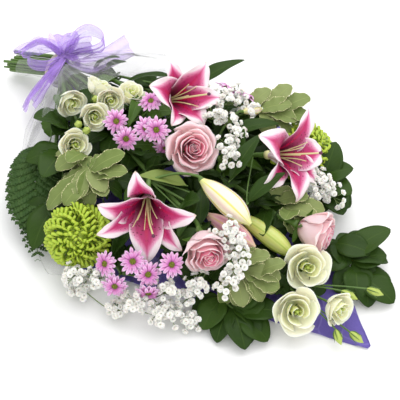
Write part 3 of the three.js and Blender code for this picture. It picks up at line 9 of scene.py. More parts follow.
import bpy
import mathutils
import numpy as np
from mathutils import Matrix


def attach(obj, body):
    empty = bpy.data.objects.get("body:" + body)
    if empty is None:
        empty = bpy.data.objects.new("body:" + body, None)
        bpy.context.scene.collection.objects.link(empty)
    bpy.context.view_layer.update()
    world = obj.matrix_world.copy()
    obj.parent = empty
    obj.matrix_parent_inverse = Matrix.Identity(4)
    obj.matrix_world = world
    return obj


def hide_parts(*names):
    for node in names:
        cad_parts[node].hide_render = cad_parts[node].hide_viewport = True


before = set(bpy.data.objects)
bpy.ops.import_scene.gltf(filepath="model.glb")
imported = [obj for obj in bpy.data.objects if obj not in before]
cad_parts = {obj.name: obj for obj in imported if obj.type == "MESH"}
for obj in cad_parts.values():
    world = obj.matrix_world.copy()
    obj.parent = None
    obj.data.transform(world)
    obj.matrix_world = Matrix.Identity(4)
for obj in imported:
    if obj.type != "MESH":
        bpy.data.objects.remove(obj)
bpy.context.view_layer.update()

MM = 0.001
END_RADIUS = 0.02  # of a tube, at its closed ends
TIE_HEIGHT = 51.0
STEM_RADII = {"lily": 3.2, "rose": 3.0, "lisianthus": 2.2, "mum": 3.0, "pink": 2.0}
draw = np.random.default_rng(5)


# ---- Camera, in metres ----
CAMERA_PLACE = (0.8057, -0.7303, 1.3023)
CAMERA_TARGET = (0.0, 0.008, 0.0)
CAMERA_LENS = 109.3
WHITE = (1.0, 1.0, 1.0, 1.0)


# ---- Small tools ----
def unit(vector):
    vector = np.asarray(vector, float)
    return vector / np.maximum(np.linalg.norm(vector, axis=-1, keepdims=True), 1e-9)


def looking(face):
    """Direction from a compass angle (0 is +X, 90 is +Y) and an elevation, in degrees."""
    azimuth, elevation = np.radians(face)
    flat = np.cos(elevation)
    return np.array([flat * np.cos(azimuth), flat * np.sin(azimuth), np.sin(elevation)])


def turn_about(axis, degrees):
    """Rotation matrix about a local axis, 0 for X and 2 for Z."""
    c, s = math.cos(math.radians(degrees)), math.sin(math.radians(degrees))
    if axis == 0:
        return np.array([[1, 0, 0], [0, c, -s], [0, s, c]])
    return np.array([[c, -s, 0], [s, c, 0], [0, 0, 1]])


class Seat:
    """Local frame of a bloom or a leaf: calling it puts local points in the bouquet's frame."""

    def __init__(self, turn, place):
        self.turn = np.asarray(turn, float)
        self.place = np.asarray(place, float)

    def __call__(self, points):
        return np.asarray(points, float) @ self.turn.T + self.place

    def spun(self, degrees):
        return Seat(self.turn @ turn_about(2, degrees), self.place)

    def raised(self, height):
        return Seat(self.turn, self.place + self.turn[:, 2] * height)


def bloom_seat(place, face, spin=0.0):
    """+Z out of the bloom's mouth, +Y as far up as that allows."""
    out = looking(face)
    side = unit([-out[1], out[0], 0.0])
    return Seat(np.column_stack([side, np.cross(out, side), out]), place).spun(spin)


def leaf_seat(base, tip, roll=0.0):
    """+X from base to tip, +Z as far up as that allows."""
    along = unit(np.subtract(tip, base))
    across = unit(np.cross((0.0, 0.0, 1.0), along))
    turn = np.column_stack([along, across, np.cross(along, across)])
    return Seat(turn @ turn_about(0, roll), base)


def stood_seat(base, tip):
    """+Z from base to tip."""
    return Seat(leaf_seat(base, tip).turn @ np.array([[0, 0, 1], [0, 1, 0], [-1, 0, 0.0]]), base)


def spread_of(rows, columns):
    """Shares along a sheet, from 0 to 1, and across it, from -1 to 1."""
    return np.linspace(0, 1, rows)[:, None], np.linspace(-1, 1, columns)[None, :]


def grid_of(x, y, z):
    return np.stack(np.broadcast_arrays(x, y, z), -1)


def curve(points, count):
    """Smooth line through the points, with `count` points in all."""
    points = np.asarray(points, float)
    if len(points) < 3:
        shares = np.linspace(0, 1, count)[:, None]
        return points[0] * (1 - shares) + points[-1] * shares
    padded = np.vstack([2 * points[0] - points[1], points, 2 * points[-1] - points[-2]])
    steps = np.linspace(0, len(points) - 1, count)
    k = np.minimum(steps.astype(int), len(points) - 2)
    t = (steps - k)[:, None]
    p0, p1, p2, p3 = (padded[k + i] for i in range(4))
    return 0.5 * (
        2 * p1
        + (p2 - p0) * t
        + (2 * p0 - 5 * p1 + 4 * p2 - p3) * t**2
        + (3 * p1 - p0 - 3 * p2 + p3) * t**3
    )


def belly(t, peak, blunt):
    """Half width of a leaf or petal along its length, fullest at the share `peak`."""
    return np.sin(np.pi * np.clip(t, 0, 1) ** (math.log(0.5) / math.log(peak))) ** blunt


def ease(low, high, x):
    t = np.clip((np.asarray(x, float) - low) / (high - low), 0, 1)
    return t * t * (3 - 2 * t)


class Piece:
    """Sheets and tubes that are built as one mesh. Each point keeps its share across (u) and along (v) its
    sheet, whether it is on the sheet's back, and a tone from 0 to 1 that the materials read."""

    def __init__(self):
        self.points, self.faces, self.marks, self.looks = [], [], [], []
        self.count = 0

    def add(self, points, faces, u, v, back, tone, look):
        marks = np.column_stack([np.broadcast_to(x, len(points)) for x in (u, v, back, tone)])
        self.points.append(points)
        self.faces.append(faces + self.count)
        self.marks.append(marks)
        self.looks.append(np.full(len(faces), look))
        self.count += len(points)

    def shell(self, grid, thick=0.7, tone=0.0, look=0):
        """Thin closed sheet over a grid: rows run along it and columns across, thinner at its edges."""
        rows, columns = grid.shape[:2]
        normal = unit(np.cross(np.gradient(grid, axis=0), np.gradient(grid, axis=1)))
        v, u = np.meshgrid(np.linspace(0, 1, rows), np.linspace(0, 1, columns), indexing="ij")
        fullness = np.clip(12 * np.minimum(u * (1 - u), v * (1 - v)), 0, 1)
        half = normal * (thick / 2 * (0.3 + 0.7 * fullness))[..., None]
        size = rows * columns
        spot = np.arange(size).reshape(rows, columns)
        a, b, c, d = spot[:-1, :-1], spot[1:, :-1], spot[1:, 1:], spot[:-1, 1:]
        front = np.stack([a, b, c, d], -1).reshape(-1, 4)
        rim = np.concatenate([spot[:, 0], spot[-1, 1:], spot[-2::-1, -1], spot[0, -2:0:-1]])
        ahead = np.roll(rim, -1)
        edge = np.stack([ahead, rim, rim + size, ahead + size], -1)
        faces = np.concatenate([front, front[:, ::-1] + size, edge])
        points = np.concatenate([(grid + half).reshape(-1, 3), (grid - half).reshape(-1, 3)])
        back = np.repeat([0.0, 1.0], size)
        self.add(points, faces, np.tile(u.ravel(), 2), np.tile(v.ravel(), 2), back, tone, look)

    def hoops(self, points, sides, tone, look):
        """Skin through rings of points that are given one after the other."""
        count = len(points) // sides
        grid = np.arange(len(points)).reshape(count, sides)
        nxt = np.roll(grid, -1, axis=1)
        faces = np.stack([grid[:-1], nxt[:-1], nxt[1:], grid[1:]], -1).reshape(-1, 4)
        u = np.tile(np.linspace(0, 2 * np.pi, sides, endpoint=False) / (2 * np.pi), count)
        self.add(points, faces, u, np.repeat(np.linspace(0, 1, count), sides), 0.0, tone, look)

    def tube(self, path, radii, sides=8, tone=0.0, look=0, squash=1.0):
        """Round stalk along a path, all but closed at its ends; `squash` flattens its section."""
        path = np.asarray(path, float)
        radii = np.concatenate([[END_RADIUS], np.broadcast_to(radii, len(path)), [END_RADIUS]])
        path = np.vstack([path[0], path, path[-1]])
        ahead = np.gradient(path, axis=0)
        ahead[0], ahead[-1] = ahead[2], ahead[-3]
        ahead = unit(ahead)
        side = unit(np.cross(ahead[0], [0.2, 0.3, 1.0]))
        angles = np.linspace(0, 2 * np.pi, sides, endpoint=False)
        rings = []
        for k, spot in enumerate(path):
            side = unit(side - ahead[k] * (side @ ahead[k]))
            across = np.cross(ahead[k], side)
            spokes = np.outer(np.cos(angles), side) + squash * np.outer(np.sin(angles), across)
            rings.append(spot + spokes * radii[k])
        self.hoops(np.vstack(rings), sides, tone, look)

    def turned(self, profile, seat, sides=24, look=0):
        """Surface of revolution about a seat's +Z through (radius, height) pairs."""
        angles = np.linspace(0, 2 * np.pi, sides, endpoint=False)
        r, z = np.array(profile, float).T[:, :, None]
        rings = grid_of(r * np.cos(angles), r * np.sin(angles), z)
        self.hoops(seat(rings.reshape(-1, 3)), sides, 0.0, look)

    def build(self, name, slot, materials, *nodes):
        """The mesh object, in metres, riding on the bouquet in the place of its CAD nodes."""
        points = np.concatenate(self.points) * MM
        faces = np.concatenate(self.faces)
        marks = np.concatenate(self.marks)
        mesh = bpy.data.meshes.new(name)
        mesh.from_pydata(points.tolist(), [], faces.tolist())
        corners = faces.ravel()
        mesh.uv_layers.new(name="shape").uv.foreach_set(
            "vector", marks[corners, :2].astype(np.float32).ravel()
        )
        for k, title in ((2, "back"), (3, "tone")):
            values = marks[:, k].astype(np.float32)
            mesh.attributes.new(title, "FLOAT", "POINT").data.foreach_set("value", values)
        for each in materials:
            mesh.materials.append(each)
        mesh.polygons.foreach_set("material_index", np.concatenate(self.looks).astype(np.int32))
        mesh.polygons.foreach_set("use_smooth", np.ones(len(faces), bool))
        mesh.update()
        made = bpy.data.objects.new(name, mesh)
        bpy.context.scene.collection.objects.link(made)
        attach(made, "root")
        if nodes:
            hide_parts(*nodes)
        return made


# ---- Materials ----
class Paint:
    """Node graph of one material: each method makes a node and returns its output."""

    def __init__(self, name, roughness=0.5, **sockets):
        self.material = bpy.data.materials.new(name)
        self.material.use_nodes = True
        self.tree = self.material.node_tree
        self.shader = self.tree.nodes["Principled BSDF"]
        self.shader.inputs["Roughness"].default_value = roughness
        for title, value in sockets.items():
            self.shader.inputs[title.replace("_", " ")].default_value = value
        shape = self.node("ShaderNodeUVMap", uv_map="shape")
        split = self.node("ShaderNodeSeparateXYZ", Vector=shape.outputs[0])
        self.u, self.v = split.outputs[0], split.outputs[1]
        self.uv = shape.outputs[0]
        self.place = self.node("ShaderNodeTexCoord").outputs["Object"]

    def node(self, kind, **inputs):
        made = self.tree.nodes.new(kind)
        for title, value in inputs.items():
            if title in made.inputs.keys():
                self.plug(made.inputs[title], value)
            else:
                setattr(made, title, value)
        return made

    def plug(self, socket, value):
        if isinstance(value, bpy.types.NodeSocket):
            self.tree.links.new(value, socket)
        else:
            socket.default_value = value

    def mark(self, name):
        return self.node("ShaderNodeAttribute", attribute_name=name).outputs["Fac"]

    def maths(self, operation, *values, clamp=False):
        made = self.node("ShaderNodeMath", operation=operation, use_clamp=clamp)
        for socket, value in zip(made.inputs, values):
            self.plug(socket, value)
        return made.outputs[0]

    def span(self, value, low, high, start=0.0, end=1.0):
        """Smooth rise from `start` to `end` as the value goes from low to high."""
        made = self.node("ShaderNodeMapRange", interpolation_type="SMOOTHSTEP")
        for socket, number in zip(made.inputs, (value, low, high, start, end)):
            self.plug(socket, number)
        return made.outputs[0]

    def mix(self, share, first, second):
        made = self.node("ShaderNodeMix", data_type="RGBA")
        self.plug(made.inputs[0], share)
        for socket, value in ((made.inputs[6], first), (made.inputs[7], second)):
            self.plug(socket, (*value, 1.0) if isinstance(value, tuple) and len(value) == 3 else value)
        return made.outputs[2]

    def stretched(self, vector, stretch):
        made = self.node("ShaderNodeVectorMath", operation="MULTIPLY", Vector=vector)
        made.inputs[1].default_value = stretch
        return made.outputs[0]

    def noise(self, scale, detail=3.0, where=None, stretch=None, roughness=0.5):
        vector = self.place if where is None else where
        if stretch:
            vector = self.stretched(vector, stretch)
        made = self.node("ShaderNodeTexNoise", Vector=vector, Scale=scale, Detail=detail, Roughness=roughness)
        return made.outputs["Fac"]

    def spots(self, scale, where, stretch):
        vector = self.stretched(where, stretch)
        return self.node("ShaderNodeTexVoronoi", Vector=vector, Scale=scale).outputs["Distance"]

    def bump(self, height, distance, strength=1.0):
        made = self.node("ShaderNodeBump", Height=height, Distance=distance * MM, Strength=strength)
        self.plug(self.shader.inputs["Normal"], made.outputs[0])

    def done(self, colour):
        self.plug(self.shader.inputs["Base Color"], colour)
        return self.material


def across_of(paint):
    """0 on a sheet's midrib, 1 at its margins."""
    return paint.maths("ABSOLUTE", paint.maths("MULTIPLY_ADD", paint.u, 2.0, -1.0))


def lily_paint():
    """Magenta tepals with a dark throat, spots, a crimson midrib and white margins that widen to the tip."""
    p = Paint("lily tepal", 0.42, Subsurface_Weight=0.12, Subsurface_Scale=0.004)
    p.shader.inputs["Subsurface Radius"].default_value = (1.0, 0.45, 0.55)
    across, along, back = across_of(p), p.v, p.mark("back")
    blur = p.maths("MULTIPLY_ADD", p.noise(9.0, 4.0, p.uv, (3.0, 1.0, 1.0)), 0.24, -0.12)
    reach = p.span(along, 0.48, 1.0, 0.98, 0.04)
    depth = p.maths("ADD", p.maths("SUBTRACT", reach, across), blur)
    streak = p.noise(4.0, 5.0, p.uv, (26.0, 1.2, 1.0), 0.6)
    pink = p.mix(streak, (0.62, 0.035, 0.23), (0.44, 0.004, 0.09))
    pink = p.mix(p.span(depth, 0.05, 0.5), (0.82, 0.30, 0.50), pink)
    throat = p.mix(p.span(along, 0.14, 0.72), (0.10, 0.001, 0.025), pink)
    rib = p.maths("MULTIPLY", p.span(across, 0.03, 0.20, 1.0, 0.0), p.span(along, 0.30, 0.92, 1.0, 0.0))
    throat = p.mix(rib, throat, (0.55, 0.0, 0.07))
    grain = p.spots(1.0, p.uv, (9.0, 34.0, 1.0))
    dots = p.maths("MULTIPLY", p.span(grain, 0.20, 0.34, 1.0, 0.0), p.span(along, 0.55, 0.75, 1.0, 0.0))
    throat = p.mix(p.maths("MULTIPLY", dots, 0.85), throat, (0.12, 0.0, 0.02))
    front = p.mix(p.span(depth, -0.16, 0.16), (0.94, 0.80, 0.84), throat)
    front = p.mix(p.span(along, 0.02, 0.10, 1.0, 0.0), front, (0.30, 0.34, 0.04))
    flush = p.maths("MULTIPLY", p.span(across, 0.85, 0.05), p.span(along, 0.98, 0.2))
    rear = p.mix(p.maths("MULTIPLY", flush, 0.8), (0.93, 0.78, 0.81), (0.74, 0.20, 0.40))
    rear = p.mix(
        p.maths("MULTIPLY", p.span(across, 0.14, 0.02), p.span(along, 0.9, 0.1)), rear, (0.62, 0.50, 0.28)
    )
    colour = p.mix(back, front, rear)
    colour = p.mix(p.maths("MULTIPLY", p.span(along, 0.955, 0.995), 0.6), colour, (0.62, 0.50, 0.22))
    p.bump(p.maths("ADD", p.maths("MULTIPLY", streak, 0.7), p.maths("MULTIPLY", dots, 0.8)), 0.5, 0.6)
    return p.done(colour)


def petal_paint(name, heart, outer, rim, base, veins, base_at):
    """Soft petal: heart colour at tone 0, outer colour at tone 1, its own colour at the rim and the base."""
    p = Paint(name, Subsurface_Weight=0.35, Subsurface_Scale=0.007)
    p.shader.inputs["Subsurface Radius"].default_value = (1.0, 0.6, 0.5)
    vein = p.noise(3.0, 4.0, p.uv, (22.0, 1.5, 1.0), 0.55)
    colour = p.mix(p.span(p.mark("tone"), 0.0, 1.0), heart, outer)
    colour = p.mix(p.span(p.v, base_at, 0.02), colour, base)
    edge = p.maths("MAXIMUM", p.span(p.v, 0.86, 1.0), p.span(across_of(p), 0.88, 1.0, 0.0, 0.6))
    colour = p.mix(edge, colour, rim)
    colour = p.mix(p.maths("MULTIPLY", vein, veins), colour, base)
    p.bump(vein, 0.25, 0.5)
    return p.done(colour)


def leaf_paint(name, face, margin, rear, vein_colour, gloss, margin_width=0.0, veins=7.0):
    """Leaf with a midrib, side veins, mottling and, where it has one, a pale margin."""
    p = Paint(name, gloss, Specular_IOR_Level=0.16)
    across = across_of(p)
    tone = p.mark("tone")
    mottle = p.noise(60.0, 4.0)
    green = p.mix(p.maths("MULTIPLY", mottle, 0.3), face, vein_colour)
    green = p.mix(p.maths("MULTIPLY", tone, 0.45 if margin_width == 0 else 0.15), green, margin)
    slant = p.maths("ADD", p.maths("MULTIPLY", p.v, veins), p.maths("MULTIPLY", across, -veins * 0.35))
    wave = p.maths("ABSOLUTE", p.maths("SINE", p.maths("MULTIPLY", slant, math.pi)))
    side = p.span(wave, 0.16, 0.0)
    midrib = p.span(across, 0.07, 0.0)
    lines = p.maths("MAXIMUM", midrib, p.maths("MULTIPLY", side, 0.35))
    green = p.mix(p.maths("MULTIPLY", lines, 0.75), green, vein_colour)
    if margin_width:
        ragged = p.maths("MULTIPLY_ADD", p.noise(16.0, 3.0, p.uv, (1.0, 1.6, 1.0)), 0.3, -0.15)
        edge = p.maths("ADD", p.maths("MAXIMUM", across, p.span(p.v, 0.8, 1.02)), ragged)
        green = p.mix(p.span(edge, 0.97 - margin_width, 1.03 - margin_width), green, margin)
    colour = p.mix(p.mark("back"), green, rear)
    p.bump(p.maths("SUBTRACT", p.maths("MULTIPLY", mottle, 0.4), lines), 0.35, 0.6)
    return p.done(colour)


def stem_paint(name, face, other):
    p = Paint(name, 0.45)
    long = p.noise(5.0, 4.0, p.uv, (9.0, 2.0, 1.0))
    colour = p.mix(long, face, other)
    p.bump(long, 0.3, 0.5)
    return p.done(colour)


def quill_paint():
    """Lime florets: yellow-green at the tips, darker towards the base as painted shade in the folds."""
    p = Paint("green chrysanthemum floret", 0.5, Subsurface_Weight=0.1, Subsurface_Scale=0.003)
    groove = p.noise(3.0, 3.0, p.uv, (12.0, 1.0, 1.0))
    # Painted shade: dark green at each floret's root, down in the folds of the head.
    colour = p.mix(p.span(p.v, 0.05, 0.75), (0.13, 0.22, 0.012), (0.46, 0.60, 0.045))
    colour = p.mix(p.span(p.v, 0.8, 1.0), colour, (0.62, 0.72, 0.12))
    colour = p.mix(p.maths("MULTIPLY", groove, 0.35), colour, (0.22, 0.36, 0.02))
    p.bump(groove, 0.3, 0.6)
    return p.done(colour)


def daisy_paint():
    p = Paint("pink daisy petal", 0.5, Subsurface_Weight=0.1, Subsurface_Scale=0.003)
    across = across_of(p)
    groove = p.noise(2.5, 3.0, p.uv, (16.0, 1.0, 1.0))
    colour = p.mix(p.span(p.v, 0.0, 0.6), (0.45, 0.06, 0.32), (0.76, 0.30, 0.62))
    colour = p.mix(p.span(p.v, 0.55, 1.0), colour, (0.90, 0.64, 0.84))
    colour = p.mix(p.maths("MULTIPLY", p.span(across, 0.5, 0.0), 0.5), colour, (0.60, 0.16, 0.46))
    colour = p.mix(p.maths("MULTIPLY", p.mark("back"), 0.5), colour, (0.78, 0.60, 0.76))
    p.bump(groove, 0.3, 0.6)
    return p.done(colour)


def disc_paint():
    p = Paint("daisy disc", 0.6)
    grain = p.node("ShaderNodeTexVoronoi", Vector=p.place, Scale=900.0).outputs["Distance"]
    colour = p.mix(p.span(p.v, 0.2, 0.9), (0.20, 0.24, 0.008), (0.34, 0.33, 0.02))
    colour = p.mix(p.span(grain, 0.2, 0.7), colour, (0.09, 0.12, 0.004))
    p.bump(grain, 0.7, 1.0)
    return p.done(colour)


def bud_paint(name, panel, line, foot, flush):
    """Closed bud: three broad panels with ridges between them, flushed along the middle."""
    p = Paint(name, 0.42, Subsurface_Weight=0.15, Subsurface_Scale=0.004)
    turn = p.maths("MULTIPLY", p.u, 6 * math.pi)
    ridge = p.maths("ABSOLUTE", p.maths("COSINE", turn))
    streak = p.noise(3.0, 4.0, p.uv, (40.0, 1.2, 1.0), 0.6)
    blush = p.maths("MULTIPLY", p.span(ridge, 0.75, 0.1), p.maths("MULTIPLY_ADD", streak, 0.6, 0.3))
    colour = p.mix(blush, panel, flush)
    colour = p.mix(p.span(ridge, 0.93, 1.0), colour, line)
    ends = p.maths("MAXIMUM", p.span(p.v, 0.26, 0.02), p.span(p.v, 0.82, 1.0))
    colour = p.mix(p.maths("MULTIPLY", ends, 0.85), colour, foot)
    p.bump(p.maths("ADD", streak, ridge), 0.4, 0.5)
    return p.done(colour)


def veil_paint():
    p = Paint("gypsophila petal", 0.6, Subsurface_Weight=0.1, Subsurface_Scale=0.002)
    mottle = p.noise(220.0, 2.0)
    colour = p.mix(p.span(p.v, 0.22, 0.0), (0.96, 0.94, 0.89), (0.66, 0.68, 0.42))
    colour = p.mix(p.maths("MULTIPLY", mottle, 0.2), colour, (0.88, 0.85, 0.76))
    p.bump(mottle, 0.2, 0.5)
    return p.done(colour)


def tissue_paint():
    """Violet tissue: fine fibre mottling, creases and a rough matt face."""
    p = Paint("violet tissue", 0.75, Sheen_Weight=0.2)
    fibre = p.noise(420.0, 6.0, None, (1.0, 2.4, 1.0), 0.65)
    crease = p.node(
        "ShaderNodeTexVoronoi", Vector=p.place, Scale=26.0, feature="DISTANCE_TO_EDGE"
    ).outputs["Distance"]
    fold = p.span(crease, 0.05, 0.0)
    colour = p.mix(fibre, (0.085, 0.055, 0.30), (0.16, 0.12, 0.46))
    colour = p.mix(p.maths("MULTIPLY", fold, 0.35), colour, (0.26, 0.22, 0.56))
    p.bump(p.maths("ADD", p.maths("MULTIPLY", fibre, 0.3), fold), 0.6, 0.7)
    return p.done(colour)


def film_paint():
    """Clear film: nearly invisible face on, with fine creases; the white it shows where it glances is painted
    reflection.
    """
    p = Paint("clear film", 0.12, Base_Color=(0.96, 0.97, 0.98, 1.0), Specular_IOR_Level=0.6)
    crease = p.noise(18.0, 5.0, None, (1.0, 2.2, 1.0), 0.6)
    haze = p.noise(7.0, 2.0)
    # Painted reflection: the white cover thickens where the film is seen edge-on.
    glance = p.node("ShaderNodeLayerWeight", Blend=0.35).outputs["Facing"]
    edge = p.maths("MULTIPLY", p.span(glance, 0.45, 1.0), 0.30)
    cover = p.maths("ADD", edge, p.maths("MULTIPLY_ADD", haze, 0.12, -0.01), clamp=True)
    p.plug(p.shader.inputs["Alpha"], cover)
    p.bump(crease, 1.2, 0.8)
    return p.done(p.mix(haze, (0.95, 0.96, 0.98), (0.99, 0.99, 0.99)))


def ribbon_paint():
    """Lilac organza: a see-through weave, closer along its woven edges."""
    p = Paint("lilac organza", 0.38, Sheen_Weight=0.4, Sheen_Roughness=0.4)
    across = across_of(p)
    weft = p.maths("SINE", p.maths("MULTIPLY", p.u, 190.0))
    warp = p.maths("SINE", p.maths("MULTIPLY", p.v, 900.0))
    weave = p.maths("MULTIPLY_ADD", p.maths("MULTIPLY", weft, warp), 0.12, 0.0)
    cloud = p.noise(40.0, 3.0)
    edge = p.span(across, 0.9, 0.97)
    cover = p.maths("ADD", p.maths("MULTIPLY_ADD", cloud, 0.16, 0.20), p.maths("MULTIPLY", edge, 0.2))
    p.plug(p.shader.inputs["Alpha"], p.maths("ADD", cover, weave, clamp=True))
    p.bump(weave, 0.3, 0.5)
    return p.done(p.mix(p.maths("MAXIMUM", edge, cloud), (0.45, 0.22, 0.90), (0.66, 0.44, 0.97)))


def string_paint():
    p = Paint("twine", 0.8)
    twist = p.maths("SINE", p.maths("MULTIPLY_ADD", p.v, 420.0, p.maths("MULTIPLY", p.u, 6.28)))
    fibre = p.noise(300.0, 4.0)
    colour = p.mix(fibre, (0.66, 0.60, 0.42), (0.84, 0.80, 0.66))
    p.bump(p.maths("ADD", twist, fibre), 0.4, 0.8)
    return p.done(colour)


LILY = lily_paint()
# Rose: the deeper pink of the heart whorls is partly the rose's own colour and partly painted shade down
# among the inner petals.
ROSE = petal_paint(
    "rose petal", (0.90, 0.13, 0.30), (0.97, 0.64, 0.66), (0.98, 0.80, 0.80), (0.93, 0.44, 0.50),
    veins=0.1, base_at=0.35
)
LISIANTHUS = petal_paint(
    "lisianthus petal", (0.86, 0.90, 0.38), (0.99, 0.97, 0.74), (0.99, 0.98, 0.84), (0.84, 0.90, 0.40),
    veins=0.06, base_at=0.25
)
QUILL = quill_paint()
DAISY = daisy_paint()
DISC = disc_paint()
VEIL = veil_paint()
TISSUE = tissue_paint()
FILM = film_paint()
RIBBON = ribbon_paint()
STRING = string_paint()
STEM = stem_paint("green stem", (0.055, 0.13, 0.018), (0.12, 0.21, 0.04))
LIME_STEM = stem_paint("lime bud", (0.32, 0.44, 0.06), (0.55, 0.64, 0.16))
VEIL_STEM = stem_paint("gypsophila twig", (0.13, 0.22, 0.05), (0.26, 0.32, 0.13))
ANTHER = stem_paint("lily filament", (0.62, 0.62, 0.22), (0.78, 0.70, 0.42))
STIGMA = stem_paint("lily stigma", (0.08, 0.01, 0.04), (0.16, 0.03, 0.08))
# Dark leaf: a real dark green, made darker still as painted shade so the gaps inside the bouquet go near
# black.
DARK_LEAF_AND_SHADE = leaf_paint(
    "dark leaf and painted shade", (0.013, 0.036, 0.004), (0.05, 0.105, 0.010), (0.06, 0.11, 0.025), (0.05, 0.095, 0.014),
    0.42
)
GREEN_LEAF = leaf_paint(
    "green leaf", (0.036, 0.088, 0.005), (0.11, 0.20, 0.03), (0.12, 0.20, 0.06), (0.10, 0.18, 0.035), 0.4
)
OLIVE_LEAF = leaf_paint(
    "olive leaf", (0.17, 0.24, 0.05), (0.24, 0.30, 0.09), (0.22, 0.28, 0.10), (0.25, 0.31, 0.10), 0.45,
    veins=3.0
)
SAGE_LEAF = leaf_paint(
    "variegated leaf", (0.13, 0.19, 0.045), (0.80, 0.76, 0.44), (0.24, 0.30, 0.12), (0.28, 0.34, 0.11),
    0.48, margin_width=0.03
)
FERN_LEAF = leaf_paint(
    "fern leaflet", (0.030, 0.070, 0.014), (0.09, 0.15, 0.04), (0.07, 0.13, 0.05), (0.06, 0.13, 0.04), 0.45
)
BUDS = {
    "cream": bud_paint(
        "cream bud", (0.90, 0.83, 0.62), (0.74, 0.66, 0.16), (0.72, 0.74, 0.25), (0.90, 0.66, 0.62)
    ),
    "lime": bud_paint(
        "lime bud of a lily", (0.52, 0.58, 0.14), (0.36, 0.45, 0.07), (0.40, 0.50, 0.08), (0.62, 0.66, 0.24)
    ),
    "pink": bud_paint(
        "pink bud", (0.84, 0.48, 0.52), (0.80, 0.58, 0.26), (0.80, 0.60, 0.40), (0.72, 0.24, 0.36)
    ),
}


# ---- Where everything is: the same places as in the part's solids ----
LILIES = [
    # Petals: turn round the mouth, length, and heading at the base and at the tip.
    dict(
        place=(-93, 30, 112),
        face=(12, 39),
        petals=[(20, 84, 8, 92), (68, 62, 24, 104), (130, 78, 14, 108)]
        + [(192, 74, 10, 84), (262, 72, 8, 72), (318, 82, 6, 68)],
    ),
    dict(
        place=(14, -96, 112),
        face=(-44, 10),
        petals=[(11, 94, 14, 86), (99, 98, 24, 90), (155, 90, 14, 88)]
        + [(200, 92, 14, 80), (270, 94, 12, 76), (318, 92, 12, 84)],
    ),
    dict(
        place=(65, 71, 100),
        face=(19, 29),
        petals=[(322, 86, 8, 112), (27, 94, 8, 112), (120, 90, 10, 134)]
        + [(178, 82, 10, 138), (236, 88, 8, 118), (280, 82, 8, 112)],
    ),
]
LILY_BUDS = [
    dict(base=(50, -36, 120), tip=(138, -31, 104), girth=17, stem=1, paint="cream"),
    dict(base=(95, -10, 68), tip=(185, 5, 50), girth=14.5, stem=2, paint="lime"),
    dict(base=(69, -45, 75), tip=(146, -29, 63), girth=14, stem=1, paint="pink"),
    dict(base=(-7, 93, 112), tip=(3, 121, 106), girth=8, stem=2, paint="cream"),
]
ROSES = [
    dict(place=(14, -14, 135), face=(-24, 49), open=1.0),
    dict(place=(136, -100, 92), face=(-28, 7), open=0.62),
    dict(place=(198, 54, 62), face=(21, -2), open=0.55),
]
LISIANTHUSES = [
    dict(place=(-178, -13, 118), face=(92, 47), stem=0, size=0.7),
    dict(place=(-136, 6, 120), face=(60, 76), stem=0, size=0.72),
    dict(place=(-130, -36, 128), face=(-33, 26), stem=0, size=0.66),
    dict(place=(-172, -68, 110), face=(-13, 7), stem=1, size=0.72),
    dict(place=(-126, -67, 122), face=(-25, 34), stem=1, size=0.68),
    dict(place=(-115, -110, 108), face=(-18, 40), stem=1, size=0.74),
    dict(place=(217, -2, 64), face=(-28, 47), stem=2, size=1.04),
    dict(place=(250, -54, 50), face=(-32, 43), stem=2, size=1.02),
    dict(place=(284, -6, 42), face=(-2, 18), stem=2, size=0.78),
]
GREEN_MUMS = [
    dict(place=(-23, -187, 62), face=(-37, 39)),
    dict(place=(69, 137, 60), face=(-3, 50)),
]
MUM_CORE = 25.0
MUM_REACH = 46.0
ROSE_REACH, ROSE_DEPTH = 33.0, 44.0
LISIANTHUS_REACH, LISIANTHUS_DEPTH = 29.0, 34.0
DAISY_REACH = 17.0
PINK_SPRAYS = [
    dict(
        fork=(-118, -34, 84),
        heads=[
            ((-93, -58, 134), (-27, 49)),
            ((-62, -67, 132), (-42, 30)),
            ((-53, -40, 138), (-27, 49)),
            ((-37, -35, 145), (-50, 45)),
            ((-89, 0, 134), (-89, 82)),
            ((-30, -26, 112), (-42, -10)),
        ],
    ),
    dict(
        fork=(36, -165, 20),
        heads=[
            ((67, -199, 58), (-48, 20)),
            ((92, -165, 76), (-31, 32)),
            ((107, -139, 86), (-11, 53)),
            ((72, -172, 88), (-42, 60)),
            ((44, -194, 76), (-84, 42)),
            ((99, -171, 50), (-42, -10)),
        ],
    ),
    dict(fork=(-78, 84, 84), heads=[((-50, 103, 118), (95, 43)), ((-25, 115, 114), (95, 43))]),
]
LILY_FORKS = [None, (-20, -70, 62), (10, 40, 66)]
LISIANTHUS_FORKS = [(-178, -10, 84), (-176, -64, 76), (196, -22, 26)]
GREEN_BUDS = [
    dict(stem=0, base=(-160, -40, 112), tip=(-148, -48, 130)),
    dict(stem=1, base=(-142, -86, 110), tip=(-130, -92, 124)),
    dict(stem=1, base=(-124, -88, 112), tip=(-112, -90, 126)),
    dict(stem=2, base=(258, 17, 38), tip=(280, 24, 36)),
    dict(stem=2, base=(276, 46, 34), tip=(296, 56, 32)),
    dict(stem=2, base=(288, -24, 24), tip=(306, -32, 18)),
    dict(stem=2, base=(302, -12, 22), tip=(322, -8, 16)),
]
LILY_LEAVES = [
    dict(stem=0, base=(-92, 70, 104), tip=(-67, 154, 128)),
    dict(stem=1, base=(28, -40, 92), tip=(-15, -87, 112), olive=True),
    dict(stem=1, base=(43, -40, 86), tip=(82, -105, 88)),
    dict(stem=1, base=(81, -66, 78), tip=(42, -27, 90)),
    dict(stem=2, base=(60, 5, 92), tip=(48, 74, 125)),
    dict(stem=2, base=(0, 60, 96), tip=(40, 117, 108)),
    dict(stem=2, base=(40, 30, 92), tip=(28, 62, 128)),
    dict(stem=2, base=(106, -7, 98), tip=(116, 51, 122)),
]
